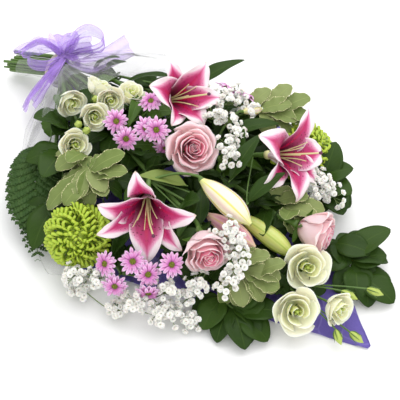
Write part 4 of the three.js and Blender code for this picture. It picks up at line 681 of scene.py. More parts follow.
FOLIAGE = {
    "pittosporum_1": dict(
        axis=[(-128, -86, 74), (-92, -112, 96), (-62, -130, 96)],
        tips=[(-93, -142, 116), (-44, -84, 130), (-24, -97, 120), (-28, -134, 105), (-61, -177, 85)]
        + [(-50, -158, 92), (-84, -188, 64), (-110, -150, 92)],
    ),
    "pittosporum_2": dict(
        axis=[(-36, 90, 80), (0, 118, 100), (20, 132, 100)],
        tips=[(10, 169, 125), (34, 183, 110), (58, 166, 95), (32, 148, 118), (-12, 152, 112), (50, 140, 104)],
    ),
    "pittosporum_3": dict(
        axis=[(118, -58, 46), (156, -66, 60), (174, -62, 50)],
        tips=[(182, -39, 88), (195, -23, 72), (200, -36, 56), (206, -50, 46), (202, -70, 40), (190, -92, 36)]
        + [(168, -30, 60)],
    ),
    "pittosporum_4": dict(
        axis=[(80, 32, 48), (112, 44, 58), (134, 56, 56)],
        tips=[(162, 84, 60), (168, 62, 66), (150, 20, 82), (137, 78, 72), (120, 74, 66)],
    ),
    "ruscus_1": dict(
        axis=[(128, -88, 20), (164, -96, 22), (188, -94, 20)],
        tips=[(176, -50, 52), (169, -142, 12), (236, -92, 9), (225, -56, 26), (226, -122, 10)],
    ),
    "ruscus_2": dict(
        axis=[(146, 66, 26), (192, 74, 26), (250, 68, 14)],
        tips=[(233, 138, 40), (240, 92, 34), (252, 112, 24), (304, 71, 8), (270, 36, 12)],
    ),
    "ruscus_3": dict(
        axis=[(82, 108, 26), (112, 132, 36), (134, 130, 34)],
        tips=[(94, 176, 72), (136, 168, 58), (160, 140, 46), (172, 112, 36)],
    ),
    "broad_leaves": dict(
        axis=[(-196, -66, 58), (-156, -98, 70), (-100, -158, 46)],
        tips=[(-190, -124, 112), (-118, -168, 84), (-70, -228, 26)],
    ),
}
LEAF_SIZE = {"pittosporum": 50.0, "ruscus": 52.0, "broad": 66.0}
LEAF_SPACE = 8.0
FERNS = [
    dict(axis=[(-196, -98, 46), (-166, -140, 52), (-122, -184, 44), (-82, -212, 30)], reach=46, pairs=15),
    dict(axis=[(-176, -84, 16), (-144, -136, 22), (-98, -196, 25), (-54, -234, 20)], reach=34, pairs=14),
]
VEILS = [
    dict(
        fork=(-66, 50, 74),
        clusters=[(-51, 68, 112), (-45, 79, 120), (-26, 85, 118), (-31, 107, 112), (-6, 104, 104)]
        + [(-14, 50, 122), (3, 60, 122), (22, 53, 116), (26, 32, 118), (44, 20, 112)],
    ),
    dict(
        fork=(44, -150, 14),
        clusters=[
            (14, -222, 45), (16, -216, 14), (38, -205, 46), (72, -206, 12), (92, -190, 34), (112, -156, 46)
        ]
        + [(128, -160, 20), (132, -132, 34), (146, -142, 10), (134, -118, 50), (124, -176, 30)],
    ),
    dict(
        fork=(84, 84, 40),
        clusters=[
            (112, 100, 66), (124, 112, 66), (104, 112, 60), (136, 116, 54), (134, 98, 54), (146, 118, 46)
        ],
    ),
    dict(
        fork=(96, -62, 60),
        clusters=[
            (128, -68, 112), (140, -62, 104), (152, -66, 98), (160, -72, 86), (166, -92, 76),
            (170, -100, 64)
        ],
    ),
]


# ---- Stems, read from the frame ----
PLANE_STEP = 12.0  # between the planes that find a stalk
PLANE_REACH = 9.0  # how much further than that the stalk may lie from one plane to the next


def edges_of(node):
    """Both ends of each edge of a CAD node, in millimetres."""
    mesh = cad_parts[node].data
    points = np.empty(len(mesh.vertices) * 3)
    mesh.vertices.foreach_get("co", points)
    points = points.reshape(-1, 3) / MM
    ends = np.empty(len(mesh.edges) * 2, np.int64)
    mesh.edges.foreach_get("vertices", ends)
    return points[ends[0::2]], points[ends[1::2]]


def stalk_line(node, end):
    """Middle of a stem's stalk from its cut foot to x = end, from where planes cross its CAD node."""
    first, second = edges_of(node)
    line = []
    for x in np.arange(min(first[:, 0].min(), second[:, 0].min()) + 1.5, end, PLANE_STEP):
        crossing = (first[:, 0] - x) * (second[:, 0] - x) < 0
        a, b = first[crossing], second[crossing]
        hits = a + ((x - a[:, 0]) / (b[:, 0] - a[:, 0]))[:, None] * (b - a)
        if line:
            hits = hits[np.linalg.norm(hits - line[-1], axis=1) < PLANE_STEP + PLANE_REACH]
        if len(hits):
            line.append(hits.mean(0))
    return np.array(line).reshape(-1, 3)


def calyx(place, face, back, length):
    """Points behind a bloom where its stalk swells: lead, start of the swelling, seat."""
    out = looking(face)
    seat = np.asarray(place, float) - out * (back + 0.3)
    return [seat - out * (length + 12), seat - out * length, seat], out


def nearest(line, point):
    return line[np.argmin(np.linalg.norm(line - np.asarray(point), axis=1))]


def forked_line(node, fork):
    """Middle of a stalk up to the fork of its twigs."""
    return np.vstack([stalk_line(node, fork[0] - 4), fork])


def ends_of(item):
    """Base, tip and direction of a bud or a leaf."""
    base, tip = np.array(item["base"], float), np.array(item["tip"], float)
    return base, tip, unit(tip - base)


def twig(piece, line, ends, lead, radii, look=0, sides=7):
    """Curved side twig from the nearest point of the stalk to the given end points."""
    ends = [np.asarray(e, float) for e in ends]
    start = nearest(line, ends[0] + 2 * np.asarray(lead))
    middle = start + (ends[0] + lead - start) * 0.65
    path = curve([start, middle, *ends], 16)
    shares = np.linspace(0, 1, len(path))
    piece.tube(path, np.interp(shares, np.linspace(0, 1, len(radii)), radii), sides, look=look)
    return path


# ---- Leaves ----
def leaf(piece, base, tip, half, rise=0.12, peak=0.5, blunt=0.8, cup=0.3, wave=0.0, waves=5, tone=0.0,
         look=0, roll=0.0, petiole=0.06, serrate=0.0, rows=22, columns=9, fold=0.0, phase=0.0):
    """Blade from base to tip, arched upwards, with a cupped section and a wavy margin."""
    base, tip = np.asarray(base, float), np.asarray(tip, float)
    span = np.linalg.norm(tip - base)
    t, side = spread_of(rows, columns)
    outline = belly((t - petiole) / (1 - petiole), peak, blunt) * (t > petiole)
    width = half * outline + 0.7
    width = width * (1 + serrate * np.sin(t * 2 * np.pi * waves * 2.3) * (np.abs(side) > 0.9))
    slope = rise * 4 * (1 - 2 * t)
    long = np.hypot(1, slope)
    lift = width * (1 - np.cos(cup * side)) / max(cup, 1e-3) + fold * width * np.abs(side)
    ripple = wave * np.sin(2 * np.pi * waves * t + phase + 1.4 * np.sign(side)) * np.abs(side) ** 2 * outline
    off = lift + ripple
    y = width * np.sin(cup * side) / max(cup, 1e-3)
    x = t * span - slope / long * off
    z = rise * span * 4 * t * (1 - t) + off / long
    grid = grid_of(x, y, z)
    piece.shell(leaf_seat(base, tip, roll)(grid), 0.6, tone, look)


LEAF_SHAPES = {
    "pittosporum": dict(half=12.6, peak=0.6, blunt=0.58, cup=0.35, wave=1.5, waves=4, serrate=0.03),
    "ruscus": dict(half=18.5, peak=0.45, blunt=0.66, cup=0.26, wave=0.7, waves=2),
    "broad": dict(half=22, peak=0.45, blunt=0.7, cup=0.3, wave=1.2, waves=2),
}


def foliage(name):
    """A leafy stem: the leaves of the solids, and smaller companions beside and under them."""
    kind = name.split("_")[0]
    axis = curve(FOLIAGE[name]["axis"], 31)
    piece = Piece()
    stalk = np.vstack([stalk_line(name, axis[0][0] - 6), axis])
    piece.tube(curve(stalk, 60), np.linspace(1.9, 1.0, 60), look=1)
    used = []
    for end in np.array(FOLIAGE[name]["tips"], float):
        crowd = np.array([max([0] + [LEAF_SPACE - np.linalg.norm(u - p) for u in used]) for p in axis])
        base = axis[np.argmin(np.abs(np.linalg.norm(axis - end, axis=1) - LEAF_SIZE[kind]) + 2 * crowd)]
        used.append(base)
        tone = draw.uniform(0, 1)
        leaf(
            piece, base, end, tone=tone, phase=draw.uniform(0, 6), roll=draw.uniform(-12, 12),
            **LEAF_SHAPES[kind]
        )
        companions(piece, kind, base, end)
    return piece


def companions(piece, kind, base, end):
    """Smaller leaves of the same whorl, turned about the twig and kept below the leaf they go with."""
    shape = LEAF_SHAPES[kind]
    out = end - base
    for turn, size in ((38, 0.72), (-42, 0.8), (12, 0.62)):
        if kind == "broad" and turn == 12:
            continue
        way = turn_about(2, turn + draw.uniform(-8, 8)) @ out * (size + draw.uniform(-0.06, 0.06))
        tip = base + way - np.array([0, 0, draw.uniform(9, 20)])
        tip[2] = max(tip[2], 6.0)
        smaller = {**shape, "half": shape["half"] * (size + 0.08)}
        leaf(
            piece, base, tip, tone=draw.uniform(0, 0.8), phase=draw.uniform(0, 6),
            roll=draw.uniform(-30, 30), **smaller
        )


# ---- Lilies ----
def tepal(piece, seat, angle, length, heading, half, root, phase, cup):
    """One petal of a lily along a rib whose heading turns steadily from the mouth's axis."""
    share, side = spread_of(36, 17)
    t = share[:, 0]
    fine = np.linspace(0, 1, 200)
    turn = np.radians(heading[0] + (heading[1] - heading[0]) * fine**1.25)
    x = np.interp(t, fine, root[0] + np.cumsum(np.sin(turn)) * length / 200)[:, None]
    z = np.interp(t, fine, root[1] + np.cumsum(np.cos(turn)) * length / 200)[:, None]
    now = np.interp(t, fine, turn)[:, None]
    shape = belly(t, 0.5, 0.78)[:, None]
    width = half * shape + 3.4 * (1 - share) ** 1.5 + 0.1
    bend = cup * (2.0 - 1.5 * share)
    ruffle = np.sin(2 * np.pi * 2.6 * share + phase + 1.9 * np.sign(side)) * np.abs(side) ** 3
    groove = 1.2 * np.exp(-((side / 0.14) ** 2))
    off = width * (1 - np.cos(bend * side)) / bend
    off = off + (2.4 * ruffle - groove) * shape - 2.2 * ease(0.88, 1.0, share)
    y = width * np.sin(bend * side) / bend + 2.5 * math.sin(2.3 * phase) * share**2
    grid = grid_of(x - np.cos(now) * off, y, z + np.sin(now) * off)
    piece.shell(seat.spun(angle)(grid), 0.9)


def lily(index):
    """Six tepals, a green heart, six filaments without their anthers, and the style with its dark stigma."""
    data = LILIES[index]
    seat = bloom_seat(data["place"], data["face"])
    piece = Piece()
    for k, (angle, length, start, end) in enumerate(data["petals"]):
        inner = k % 2 == 0
        half = 22.0 if inner else 16.5
        root = (3.0 if inner else 5.0, 2.0)
        tepal(piece, seat, angle, length, (start, end), half, root, 1.3 * k + index, 0.46)
    piece.turned([(0.05, 12), (3.2, 10), (5.2, 6), (6.2, 1), (5.6, -3), (0.05, -4)], seat, look=1)
    for k in range(6):
        way = seat.spun(60 * k + 25)
        bow = 1.0 + 0.25 * math.sin(2.1 * k + index)
        path = way([(3, 0, 8), (5, 0, 24), (9 * bow, 0, 44), (14 * bow, 0, 60 + 3 * math.sin(k))])
        piece.tube(curve(path, 14), np.linspace(0.95, 0.5, 14), 7, look=1)
    style = curve(seat.spun(-35)([(1, 0, 8), (2, 0, 28), (6, 0, 54), (13, 0, 74)]), 16)
    piece.tube(style, np.linspace(1.4, 1.1, 16), 8, look=1)
    piece.tube(curve([style[-1], 2 * style[-1] - style[-2]], 4), [1.6, 2.3, 2.4, 1.3], 9, look=2)
    piece.build(f"lily_{index + 1}_bloom", "lily_petal", (LILY, ANTHER, STIGMA), f"lily_{index + 1}_petals")


def lily_bud(index):
    data = LILY_BUDS[index]
    base, tip, _ = ends_of(data)
    long, girth = np.linalg.norm(tip - base), data["girth"]
    rows, sides = 30, 48
    t = np.linspace(0, 1, rows)
    profile = np.interp(
        t, (0, 0.06, 0.2, 0.4, 0.6, 0.78, 0.92, 1.0), (0.16, 0.34, 0.66, 0.86, 0.96, 0.82, 0.42, 0.06)
    )
    profile = np.convolve(np.pad(profile, 2, "edge"), np.ones(5) / 5, "valid")
    angles = np.linspace(0, 2 * np.pi, sides, endpoint=False)
    ribs = 1 + 0.05 * np.abs(np.cos(3 * angles)) ** 6 - 0.05 * np.cos(3 * angles + 0.5) ** 2
    reach = girth * profile[:, None] * ribs[None, :]
    arch = np.sin(np.pi * t)[:, None] * 0.035 * long
    grid = grid_of((t * long)[:, None], reach * np.cos(angles), reach * np.sin(angles) + arch)
    piece = Piece()
    piece.hoops(leaf_seat(base, tip)(grid.reshape(-1, 3)), sides, 0.0, 0)
    piece.build(
        f"lily_{index + 1}_bud", f"bud_{data['paint']}", (BUDS[data["paint"]],), f"lily_bud_{index + 1}"
    )


# ---- Roses and lisianthus ----
PETAL_THICK = 0.5


def cupped_petal(piece, seat, angle, spread, profile, tone, *, drop, ruffle, lean, phase, roll, point=0.0,
                 waves=2.5):
    """Petal on a surface of revolution whose profile is four (radius, height) handles of a curve from base
    to rim. `drop` rounds the rim's corners, `point` draws out its middle, `roll` turns its
    margins outwards."""
    t, side = spread_of(18, 15)
    reach = t * (1 - drop * np.abs(side) ** 2.6 + point * (1 - np.abs(side)) ** 2)
    a, b, c, d = (np.array(h, float) for h in profile)
    s = reach[..., None]
    spot = a * (1 - s) ** 3 + 3 * b * s * (1 - s) ** 2 + 3 * c * s**2 * (1 - s) + d * s**3
    r, z = spot[..., 0], spot[..., 1]
    edge = ease(0.55, 1.0, t)
    r = r + lean * side * t + roll * edge * np.abs(side) ** 2.2
    wave = ruffle * np.sin(waves * np.pi * side + phase) * edge
    r, z = r + wave, z + 0.5 * wave * np.cos(phase) - roll * 0.5 * edge * np.abs(side) ** 2.2
    theta = side * math.radians(spread) / 2 * (0.35 + 0.65 * np.minimum(1, t * 1.8))
    grid = grid_of(r * np.cos(theta), r * np.sin(theta), z)
    piece.shell(seat.spun(angle)(grid), PETAL_THICK, tone)


def rose(index):
    """A tight spiral heart, then whorls of broad petals that overlap and roll back to points."""
    data = ROSES[index]
    opened = data["open"]
    depth, wide = ROSE_DEPTH, ROSE_REACH * (0.66 + 0.16 * opened)
    seat = bloom_seat(data["place"], data["face"], 20 * index).raised(-depth)
    piece = Piece()
    angle = 40.0 * index
    whorls = [
        (2, 1.8, depth + 1.0, 230, 0.0, 0.0),
        (3, 3.9, depth + 1.6, 180, 0.04, 0.3),
        (3, 6.6, depth + 2.0, 165, 0.14, 0.8),
        (3, 10.2, depth + 2.2, 142, 0.34, 2.0),
        (3, 14.6, depth + 1.0, 138, 0.58, 3.6),
        (4, 19.4, depth - 2.0, 108, 0.8, 5.2),
        (5, wide, depth - 6.0 - 3 * opened, 92, 1.0, 7.0),
    ]
    for k, (count, r, z, spread, tone, flare) in enumerate(whorls):
        flare = flare * (0.55 + 0.45 * opened)
        z = z + (0 if opened > 0.9 else 0.16 * r)
        for _ in range(count):
            angle += 360 / count + (9 if k < 3 else 4)
            swing = math.sin(2.3 * angle)
            rim = (r + flare * (1 + 0.15 * swing), z - flare * (0.75 + 0.2 * swing))
            profile = [
                (2.0, 1.0), (max(r * 1.12, 4.0), 2.0 + 0.1 * z),
                (r * 0.98 - 0.2 * flare, z + 0.35 * flare + 1), rim
            ]
            cupped_petal(
                piece, seat, angle, spread, profile, tone, drop=0.16 + 0.03 * k, point=0.014 * k,
                ruffle=0.16 * k, lean=0.8 + 0.09 * r, roll=0.5 * flare, phase=2.1 * angle,
            )
        angle += 41
    piece.build(f"rose_{index + 1}_bloom", "rose_petal", (ROSE,), f"rose_{index + 1}_petals")


def lisianthus(index):
    """Loose ruffled whorls, green at the heart, round a small pistil."""
    data = LISIANTHUSES[index]
    size = data["size"]
    depth, wide = LISIANTHUS_DEPTH * size, LISIANTHUS_REACH * size
    seat = bloom_seat(data["place"], data["face"], 31 * index).raised(-depth)
    piece = Piece()
    angle = 15.0 * index
    whorls = [
        (2, 0.22, 0.98, 172, 0.1, 0.0),
        (2, 0.46, 1.04, 168, 0.5, 1.6),
        (3, 0.70, 0.96, 136, 0.9, 3.4),
        (3, 0.88, 0.82, 128, 1.0, 4.6),
    ]
    for k, (count, r, z, spread, tone, flare) in enumerate(whorls):
        r, z, flare = r * wide, z * depth, flare * size
        for _ in range(count):
            angle += 360 / count + 7
            swing = math.sin(1.9 * angle)
            rim = (r + flare * (1 + 0.3 * swing), z - flare * (0.4 + 0.3 * swing))
            profile = [(2.0, 1.0), (r * 0.9 + 1.5, 0.1 * z), (r * 0.92, z * 0.85 + 2), rim]
            cupped_petal(
                piece, seat, angle, spread, profile, tone, drop=0.24 + 0.04 * k, waves=2.0,
                ruffle=(0.3 + 0.3 * k) * size, lean=(1.2 + 0.12 * r) * size, phase=1.7 * angle,
                roll=0.5 * k * size,
            )
        angle += 37
    top = depth * 0.86
    piece.turned(
        [(1.6, depth * 0.4), (2.0, top - 5), (2.3, top - 2), (1.2, top), (0.05, top + 0.3)], seat, 12,
        look=1
    )
    for k in range(5):
        path = seat.spun(72 * k)([(1.5, 0, depth * 0.4), (3.0, 0, top - 6), (4.0, 0, top - 1)])
        piece.tube(curve(path, 7), [0.5, 0.5, 0.5, 0.6, 1.0, 1.2, 0.8], 6, look=1)
    piece.build(
        f"lisianthus_{index + 1}_petals", "lisianthus_petal", (LISIANTHUS, LIME_STEM),
        f"lisianthus_bloom_{index + 1}"
    )


# ---- Chrysanthemums ----
def green_mum(index):
    """Incurved florets: short and packed at the heart, long, loose and hooked at the rim."""
    data = GREEN_MUMS[index]
    seat = bloom_seat(data["place"], data["face"])
    piece = Piece()
    count = 190
    for k in range(count):
        share = (k + 0.5) / count
        polar = math.radians(118) * share**0.62
        turn = k * math.radians(137.508)
        way = np.array([math.sin(polar) * math.cos(turn), math.sin(polar) * math.sin(turn), math.cos(polar)])
        inner = 1 - share
        reach = MUM_REACH * (0.80 + 0.2 * share) * (1 + 0.05 * math.sin(5.1 * k))
        root = way * np.array([1, 1, 0.8]) * MUM_CORE * (0.35 + 0.25 * share)
        tip = way * np.array([1, 1, 0.85]) * reach
        up = np.array([0, 0, 1.0])
        aside = unit(np.cross(way, up) + 1e-3)
        hook = unit(up * (0.9 - 0.5 * share) - way * 0.5 + aside * 0.8 * math.sin(2.7 * k))
        bow = aside * 4.5 * math.sin(3.3 * k)
        middle = root * 0.45 + tip * 0.55 + bow - up * 4.0 * share
        near = tip * 0.93 + bow * 0.6
        end = tip * (0.88 - 0.05 * inner) + hook * (6.5 + 5.0 * share)
        path = seat(curve([root, middle, near, tip + hook * 1.8, end], 11))
        width = np.interp(np.linspace(0, 1, 11), (0, 0.4, 0.75, 0.92, 1), (0.8, 1.5, 2.1, 2.0, 0.7))
        piece.tube(path, width * (1.0 + 0.25 * share), 7, tone=share, squash=0.55)
    piece.turned([(0.05, -20), (12, -17), (19, -8), (20, 0), (15, 10), (8, 15), (0.05, 17)], seat, look=0)
    piece.build(
        f"chrysanthemum_{index + 1}_head", "green_bloom", (QUILL,), f"chrysanthemum_green_{index + 1}"
    )


def daisy(piece, place, face, spin, size):
    """Two rings of notched petals round a domed disc."""
    seat = bloom_seat(place, face, spin)
    for ring, (reach, lift, many) in enumerate(((1.0, 2.0, 15), (0.78, 5.5, 10))):
        for k in range(many):
            angle = 360 * (k + 0.5 * ring) / many + 3 * math.sin(4.7 * k + spin)
            long = DAISY_REACH * size * reach * (1 + 0.11 * math.sin(3.9 * k + spin))
            t, side = spread_of(9, 5)
            width = (0.5 + 2.1 * belly(np.minimum(t * 0.96 + 0.01, 1), 0.62, 0.7)) * size
            notch = 0.06 * np.cos(side * 3 * np.pi) * (t > 0.9)
            x = 2.4 * size + (long - 2.4 * size) * (t + notch * 0.6)
            height = lift * size * np.sin(np.pi * (0.12 + 0.75 * t)) - 1.2 * size
            height = height + 1.3 * t * np.sin(7.1 * k + spin)
            z = height + 0.5 * size * np.abs(side) ** 2 - 0.35 * size * np.cos(side * 2 * np.pi)
            grid = grid_of(x, width * side, z)
            piece.shell(seat.spun(angle)(grid), 0.35 * size, tone=ring)
    radius = 4.9 * size
    piece.turned(
        [
            (radius * 0.7, -1.0), (radius, 0.6), (radius * 0.96, 1.9), (radius * 0.75, 3.0),
            (radius * 0.4, 3.6), (0.05, 3.7)
        ],
        seat, 16, look=1,
    )
    for k in range(46):
        r = radius * math.sqrt((k + 0.5) / 46)
        way = seat.spun(137.5 * k)
        z = 3.6 - 1.7 * (r / radius) ** 2
        piece.tube(
            way([(r, 0, z - 0.5), (r, 0, z + 0.2), (r * 0.98, 0, z + 0.75)]), [0.42, 0.45, 0.28], 5, tone=1,
            look=1
        )


def pink_spray(index):
    data = PINK_SPRAYS[index]
    name = f"chrysanthemum_pink_spray_{index + 1}"
    piece = Piece()
    line = forked_line(name, data["fork"])
    piece.tube(curve(line, 60), STEM_RADII["pink"], look=2)
    for k, (place, face) in enumerate(data["heads"]):
        out = looking(face)
        seat = np.array(place, float) - out * 1.6
        twig(piece, line, [seat - out * 8, seat], out * -9, [1.2, 1.1, 1.1, 1.4, 2.8], look=2)
        daisy(piece, place, face, 17.0 * k, 1.0 + 0.05 * math.sin(3 * k))
    piece.build(f"pink_spray_{index + 1}", "pink_daisy", (DAISY, DISC, STEM), name)


# ---- Gypsophila ----
def floret(piece, place, out, size):
    """Tiny double flower of two rings of cupped petals."""
    seat = stood_seat(place, np.add(place, out))
    spin = draw.uniform(0, 72)
    for reach, lift, count, shift in ((1.0, 0.3, 5, 0), (0.78, 0.8, 5, 30), (0.42, 1.0, 2, 10)):
        for k in range(count):
            t = np.array([0, 0.5, 0.85, 1.0])[:, None]
            side = np.array([-1, 0, 1.0])[None, :]
            width = np.interp(t, (0, 0.5, 0.85, 1), (0.3, 0.66, 0.6, 0.25)) * size
            x = size * reach * t
            z = size * (lift * t**1.4 + 0.12 * np.abs(side) - 0.15 * (t > 0.95))
            grid = grid_of(x, width * side, z + 0 * side)
            piece.shell(seat.spun(360 * k / count + shift + spin)(grid), 0.25)


def veil(index):
    """A much-branched spray: each cluster is a tuft of wiry twigs with a flower at the end of each."""
    data = VEILS[index]
    flowers = 27 if index == 1 else 17
    name = f"gypsophila_spray_{index + 1}"
    piece = Piece()
    line = forked_line(name, data["fork"])
    piece.tube(curve(line, 50), 1.3, 6, look=1)
    limbs = line
    for cluster in np.array(data["clusters"], float):
        path = twig(piece, limbs, [cluster], np.array([-5, 0, -10.0]), [0.8, 0.7, 0.6], look=1, sides=5)
        limbs = np.vstack([limbs, path])
        for _ in range(flowers):
            way = unit(draw.normal(size=3) + np.array([0.15, 0, 0.55]))
            if way[2] < -0.25:
                way[2] *= -1
            place = cluster + way * draw.uniform(6, 19)
            if place[2] < 5:
                place[2] = draw.uniform(5, 9)
            bend = (cluster + place) / 2 + draw.normal(size=3) * 1.2
            piece.tube(curve([cluster, bend, place], 5), [0.42, 0.35, 0.32, 0.4, 0.9], 4, look=1)
            floret(piece, place, unit(place - cluster + np.array([0, 0, 4.0])), draw.uniform(3.7, 4.8))
    piece.build(f"gypsophila_{index + 1}", "gypsophila", (VEIL, VEIL_STEM), name)


# ---- Fern ----
def fern(index):
    """Frond cut twice: leaflets along the rib, each cut to small toothed lobes."""
    data = FERNS[index]
    name = f"fern_{index + 1}"
    piece = Piece()
    axis = curve(data["axis"], 80)
    piece.tube(
        curve(np.vstack([stalk_line(name, axis[0][0] - 4), axis[::8]]), 70), np.linspace(1.5, 0.5, 70), 6,
        look=1
    )
    pairs = data["pairs"]
    for k in range(pairs):
        share = 0.16 + 0.82 * k / (pairs - 1)
        spot = axis[int(share * 79)]
        along = unit(axis[min(int(share * 79) + 1, 79)] - axis[int(share * 79) - 1])
        long = data["reach"] * math.sin(math.pi * (0.30 + 0.66 * k / (pairs - 1)))
        for way in (-1, 1):
            across = unit([-along[1] * way, along[0] * way, 0])
            heading = unit(across * 0.86 + along * 0.62 + np.array([0, 0, 0.10 - 0.1 * k / pairs]))
            pinna(piece, spot, heading, np.array([0, 0, 1.0]), long)
    piece.build(f"fern_{index + 1}_frond", "fern", (FERN_LEAF, STEM), name)


def pinna(piece, root, heading, up, long):
    """One leaflet: a fine rib with toothed lobes, largest a quarter of the way along."""
    count = max(4, int(long / 4.2))
    droop = np.array([0, 0, -0.12 * long])
    piece.tube(
        curve([root, root + heading * long * 0.5, root + heading * long + droop], 6),
        np.linspace(0.5, 0.2, 6), 4, look=1
    )
    for k in range(count):
        t = (k + 0.4) / count
        spot = root + heading * long * t + droop * t**2
        size = (0.25 + 0.75 * math.sin(math.pi * min(1, 0.22 + 0.78 * t)) ** 0.8) * long * 0.27
        across = unit(np.cross(up, heading))
        for way in (-1, 1):
            if size < 1.2:
                continue
            tip = spot + (across * way * 0.85 + heading * 0.7) * size + up * draw.uniform(-0.6, 0.6)
            leaf(piece, spot, tip, size * 0.3, rise=0.03, peak=0.4, blunt=0.8, cup=0.2, serrate=0.3,
                 tone=draw.uniform(0, 0.7), rows=6, columns=3, petiole=0.0)
    base, end = root + heading * long * 0.92 + droop * 0.9, root + heading * long * 1.08 + droop
    leaf(piece, base, end, long * 0.035, rise=0.0, rows=6, columns=3, petiole=0.0)


# ---- Stems with their leaves and buds ----
def small_bud(piece, base, tip, girth, look):
    """Pointed bud with its petals twisted round each other."""
    seat = stood_seat(base, tip)
    long = np.linalg.norm(tip - base)
    t = np.linspace(0, 1, 14)
    profile = np.interp(t, (0, 0.15, 0.4, 0.65, 0.88, 1), (0.35, 0.7, 1.0, 0.85, 0.35, 0.05)) * girth
    angles = np.linspace(0, 2 * np.pi, 20, endpoint=False)
    twist = angles[None, :] + 1.6 * t[:, None]
    reach = profile[:, None] * (1 + 0.10 * np.cos(5 * angles[None, :]))
    grid = grid_of(reach * np.cos(twist), reach * np.sin(twist), (t * long)[:, None])
    piece.hoops(seat(grid.reshape(-1, 3)), 20, 0.0, look)
    for k in range(5):
        way = seat.spun(72 * k)
        swell = [(0.3, 0.0), (0.95, 0.22), (1.05, 0.5), (1.3, 0.72)]
        path = way([(girth * r, 0, long * z) for r, z in swell])
        piece.tube(curve(path, 7), [0.5, 0.8, 0.8, 0.7, 0.5, 0.35, 0.15], 5, look=0)


def bloom_stem(name, kind, place, face, back, fork=None, cup=5.2, length=12.0):
    """Piece with the main stalk of a bloom, from its foot to the swelling under the bloom."""
    piece = Piece()
    ends, out = calyx(place, face, back, length)
    before = fork[0] if fork else ends[0][0] - 10
    line = stalk_line(name, before)
    path = np.vstack([line, *([fork] if fork else []), *ends])
    radius = STEM_RADII[kind]
    radii = np.concatenate([np.full(len(path) - 2, radius), [radius * 1.05, cup]])
    shares = np.linspace(0, 1, 90)
    piece.tube(curve(path, 90), np.interp(shares, np.linspace(0, 1, len(path)), radii), 12)
    return piece, np.vstack([line, *([fork] if fork else []), ends[0]]), out


def lily_stem(index):
    data = LILIES[index]
    name = f"lily_{index + 1}_stem"
    piece, line, _ = bloom_stem(name, "lily", data["place"], data["face"], 0, LILY_FORKS[index])
    for bud in (b for b in LILY_BUDS if b["stem"] == index):
        base, tip, out = ends_of(bud)
        twig(
            piece, line, [base - out * 8, base + out * 1.5], out * -12,
            [1.9, 1.8, 1.8, 2.2, bud["girth"] * 0.3]
        )
    for k, item in enumerate(x for x in LILY_LEAVES if x["stem"] == index):
        base, tip, out = ends_of(item)
        twig(piece, line, [base, base + out * 3], out * -4, [1.0, 1.0, 1.0])
        look = 3 if item.get("olive") else 1
        leaf(piece, base, tip, 11, rise=0.1, peak=0.42, blunt=0.9, cup=0.35, wave=0.8, waves=2, fold=0.12,
             tone=draw.uniform(0, 0.5), look=look, phase=2.0 * k, rows=28)
    dress(piece, line, "lily", 34)
    piece.build(f"lily_{index + 1}_greens", "stem", (STEM, DARK_LEAF_AND_SHADE, GREEN_LEAF, OLIVE_LEAF), name)


def rose_stem(index):
    data = ROSES[index]
    name = f"rose_{index + 1}_stem"
    piece, line, _ = bloom_stem(name, "rose", data["place"], data["face"], ROSE_DEPTH, cup=6.5)
    seat = bloom_seat(data["place"], data["face"], 20 * index).raised(-ROSE_DEPTH)
    for k in range(5):
        way = seat.spun(72 * k + 10)
        root, tip = way([(4, 0, 1)])[0], way([(26, 0, 12 - 4 * (k % 3))])[0]
        leaf(
            piece, root, tip, 3.4, rise=-0.2, peak=0.3, blunt=0.8, cup=0.5, tone=0.4, look=2, rows=12,
            columns=5
        )
    dress(piece, line, "rose", 26)
    piece.build(f"rose_{index + 1}_greens", "stem", (STEM, DARK_LEAF_AND_SHADE, GREEN_LEAF), name)


def mum_stem(index):
    data = GREEN_MUMS[index]
    name = f"chrysanthemum_green_stem_{index + 1}"
    piece, line, _ = bloom_stem(
        name, "mum", data["place"], data["face"], MUM_CORE * 0.85, cup=8.0, length=9.0
    )
    dress(piece, line, "mum", 24)
    piece.build(f"chrysanthemum_{index + 1}_greens", "stem", (STEM, DARK_LEAF_AND_SHADE, GREEN_LEAF), name)


def lisianthus_stem(index):
    name = f"lisianthus_stem_{index + 1}"
    piece = Piece()
    line = forked_line(name, LISIANTHUS_FORKS[index])
    piece.tube(curve(line, 60), STEM_RADII["lisianthus"])
    for bloom in (b for b in LISIANTHUSES if b["stem"] == index):
        ends, out = calyx(bloom["place"], bloom["face"], LISIANTHUS_DEPTH * bloom["size"], 8)
        twig(piece, line, [ends[1], ends[2] + out * 1.5], out * -10, [1.5, 1.4, 1.4, 1.7, 4.4])
        seat = bloom_seat(bloom["place"], bloom["face"]).raised(-LISIANTHUS_DEPTH * bloom["size"])
        for k in range(5):
            root, tip = seat.spun(72 * k)([(3.4, 0, 0), (8.5, 0, 17 * bloom["size"])])
            leaf(piece, root, tip, 1.4, rise=-0.1, peak=0.3, cup=0.4, tone=0.5, look=2, rows=8, columns=3)
    for bud in (b for b in GREEN_BUDS if b["stem"] == index):
        base, tip, out = ends_of(bud)
        twig(piece, line, [base - out * 2, base + out], out * -8, [1.2, 1.1, 1.1, 1.3, 1.8])
        small_bud(piece, base, tip, 5.2, 3)
    dress(piece, line, "lisianthus", 30)
    piece.build(f"lisianthus_{index + 1}_greens", "stem", (STEM, DARK_LEAF_AND_SHADE, GREEN_LEAF, LIME_STEM), name)


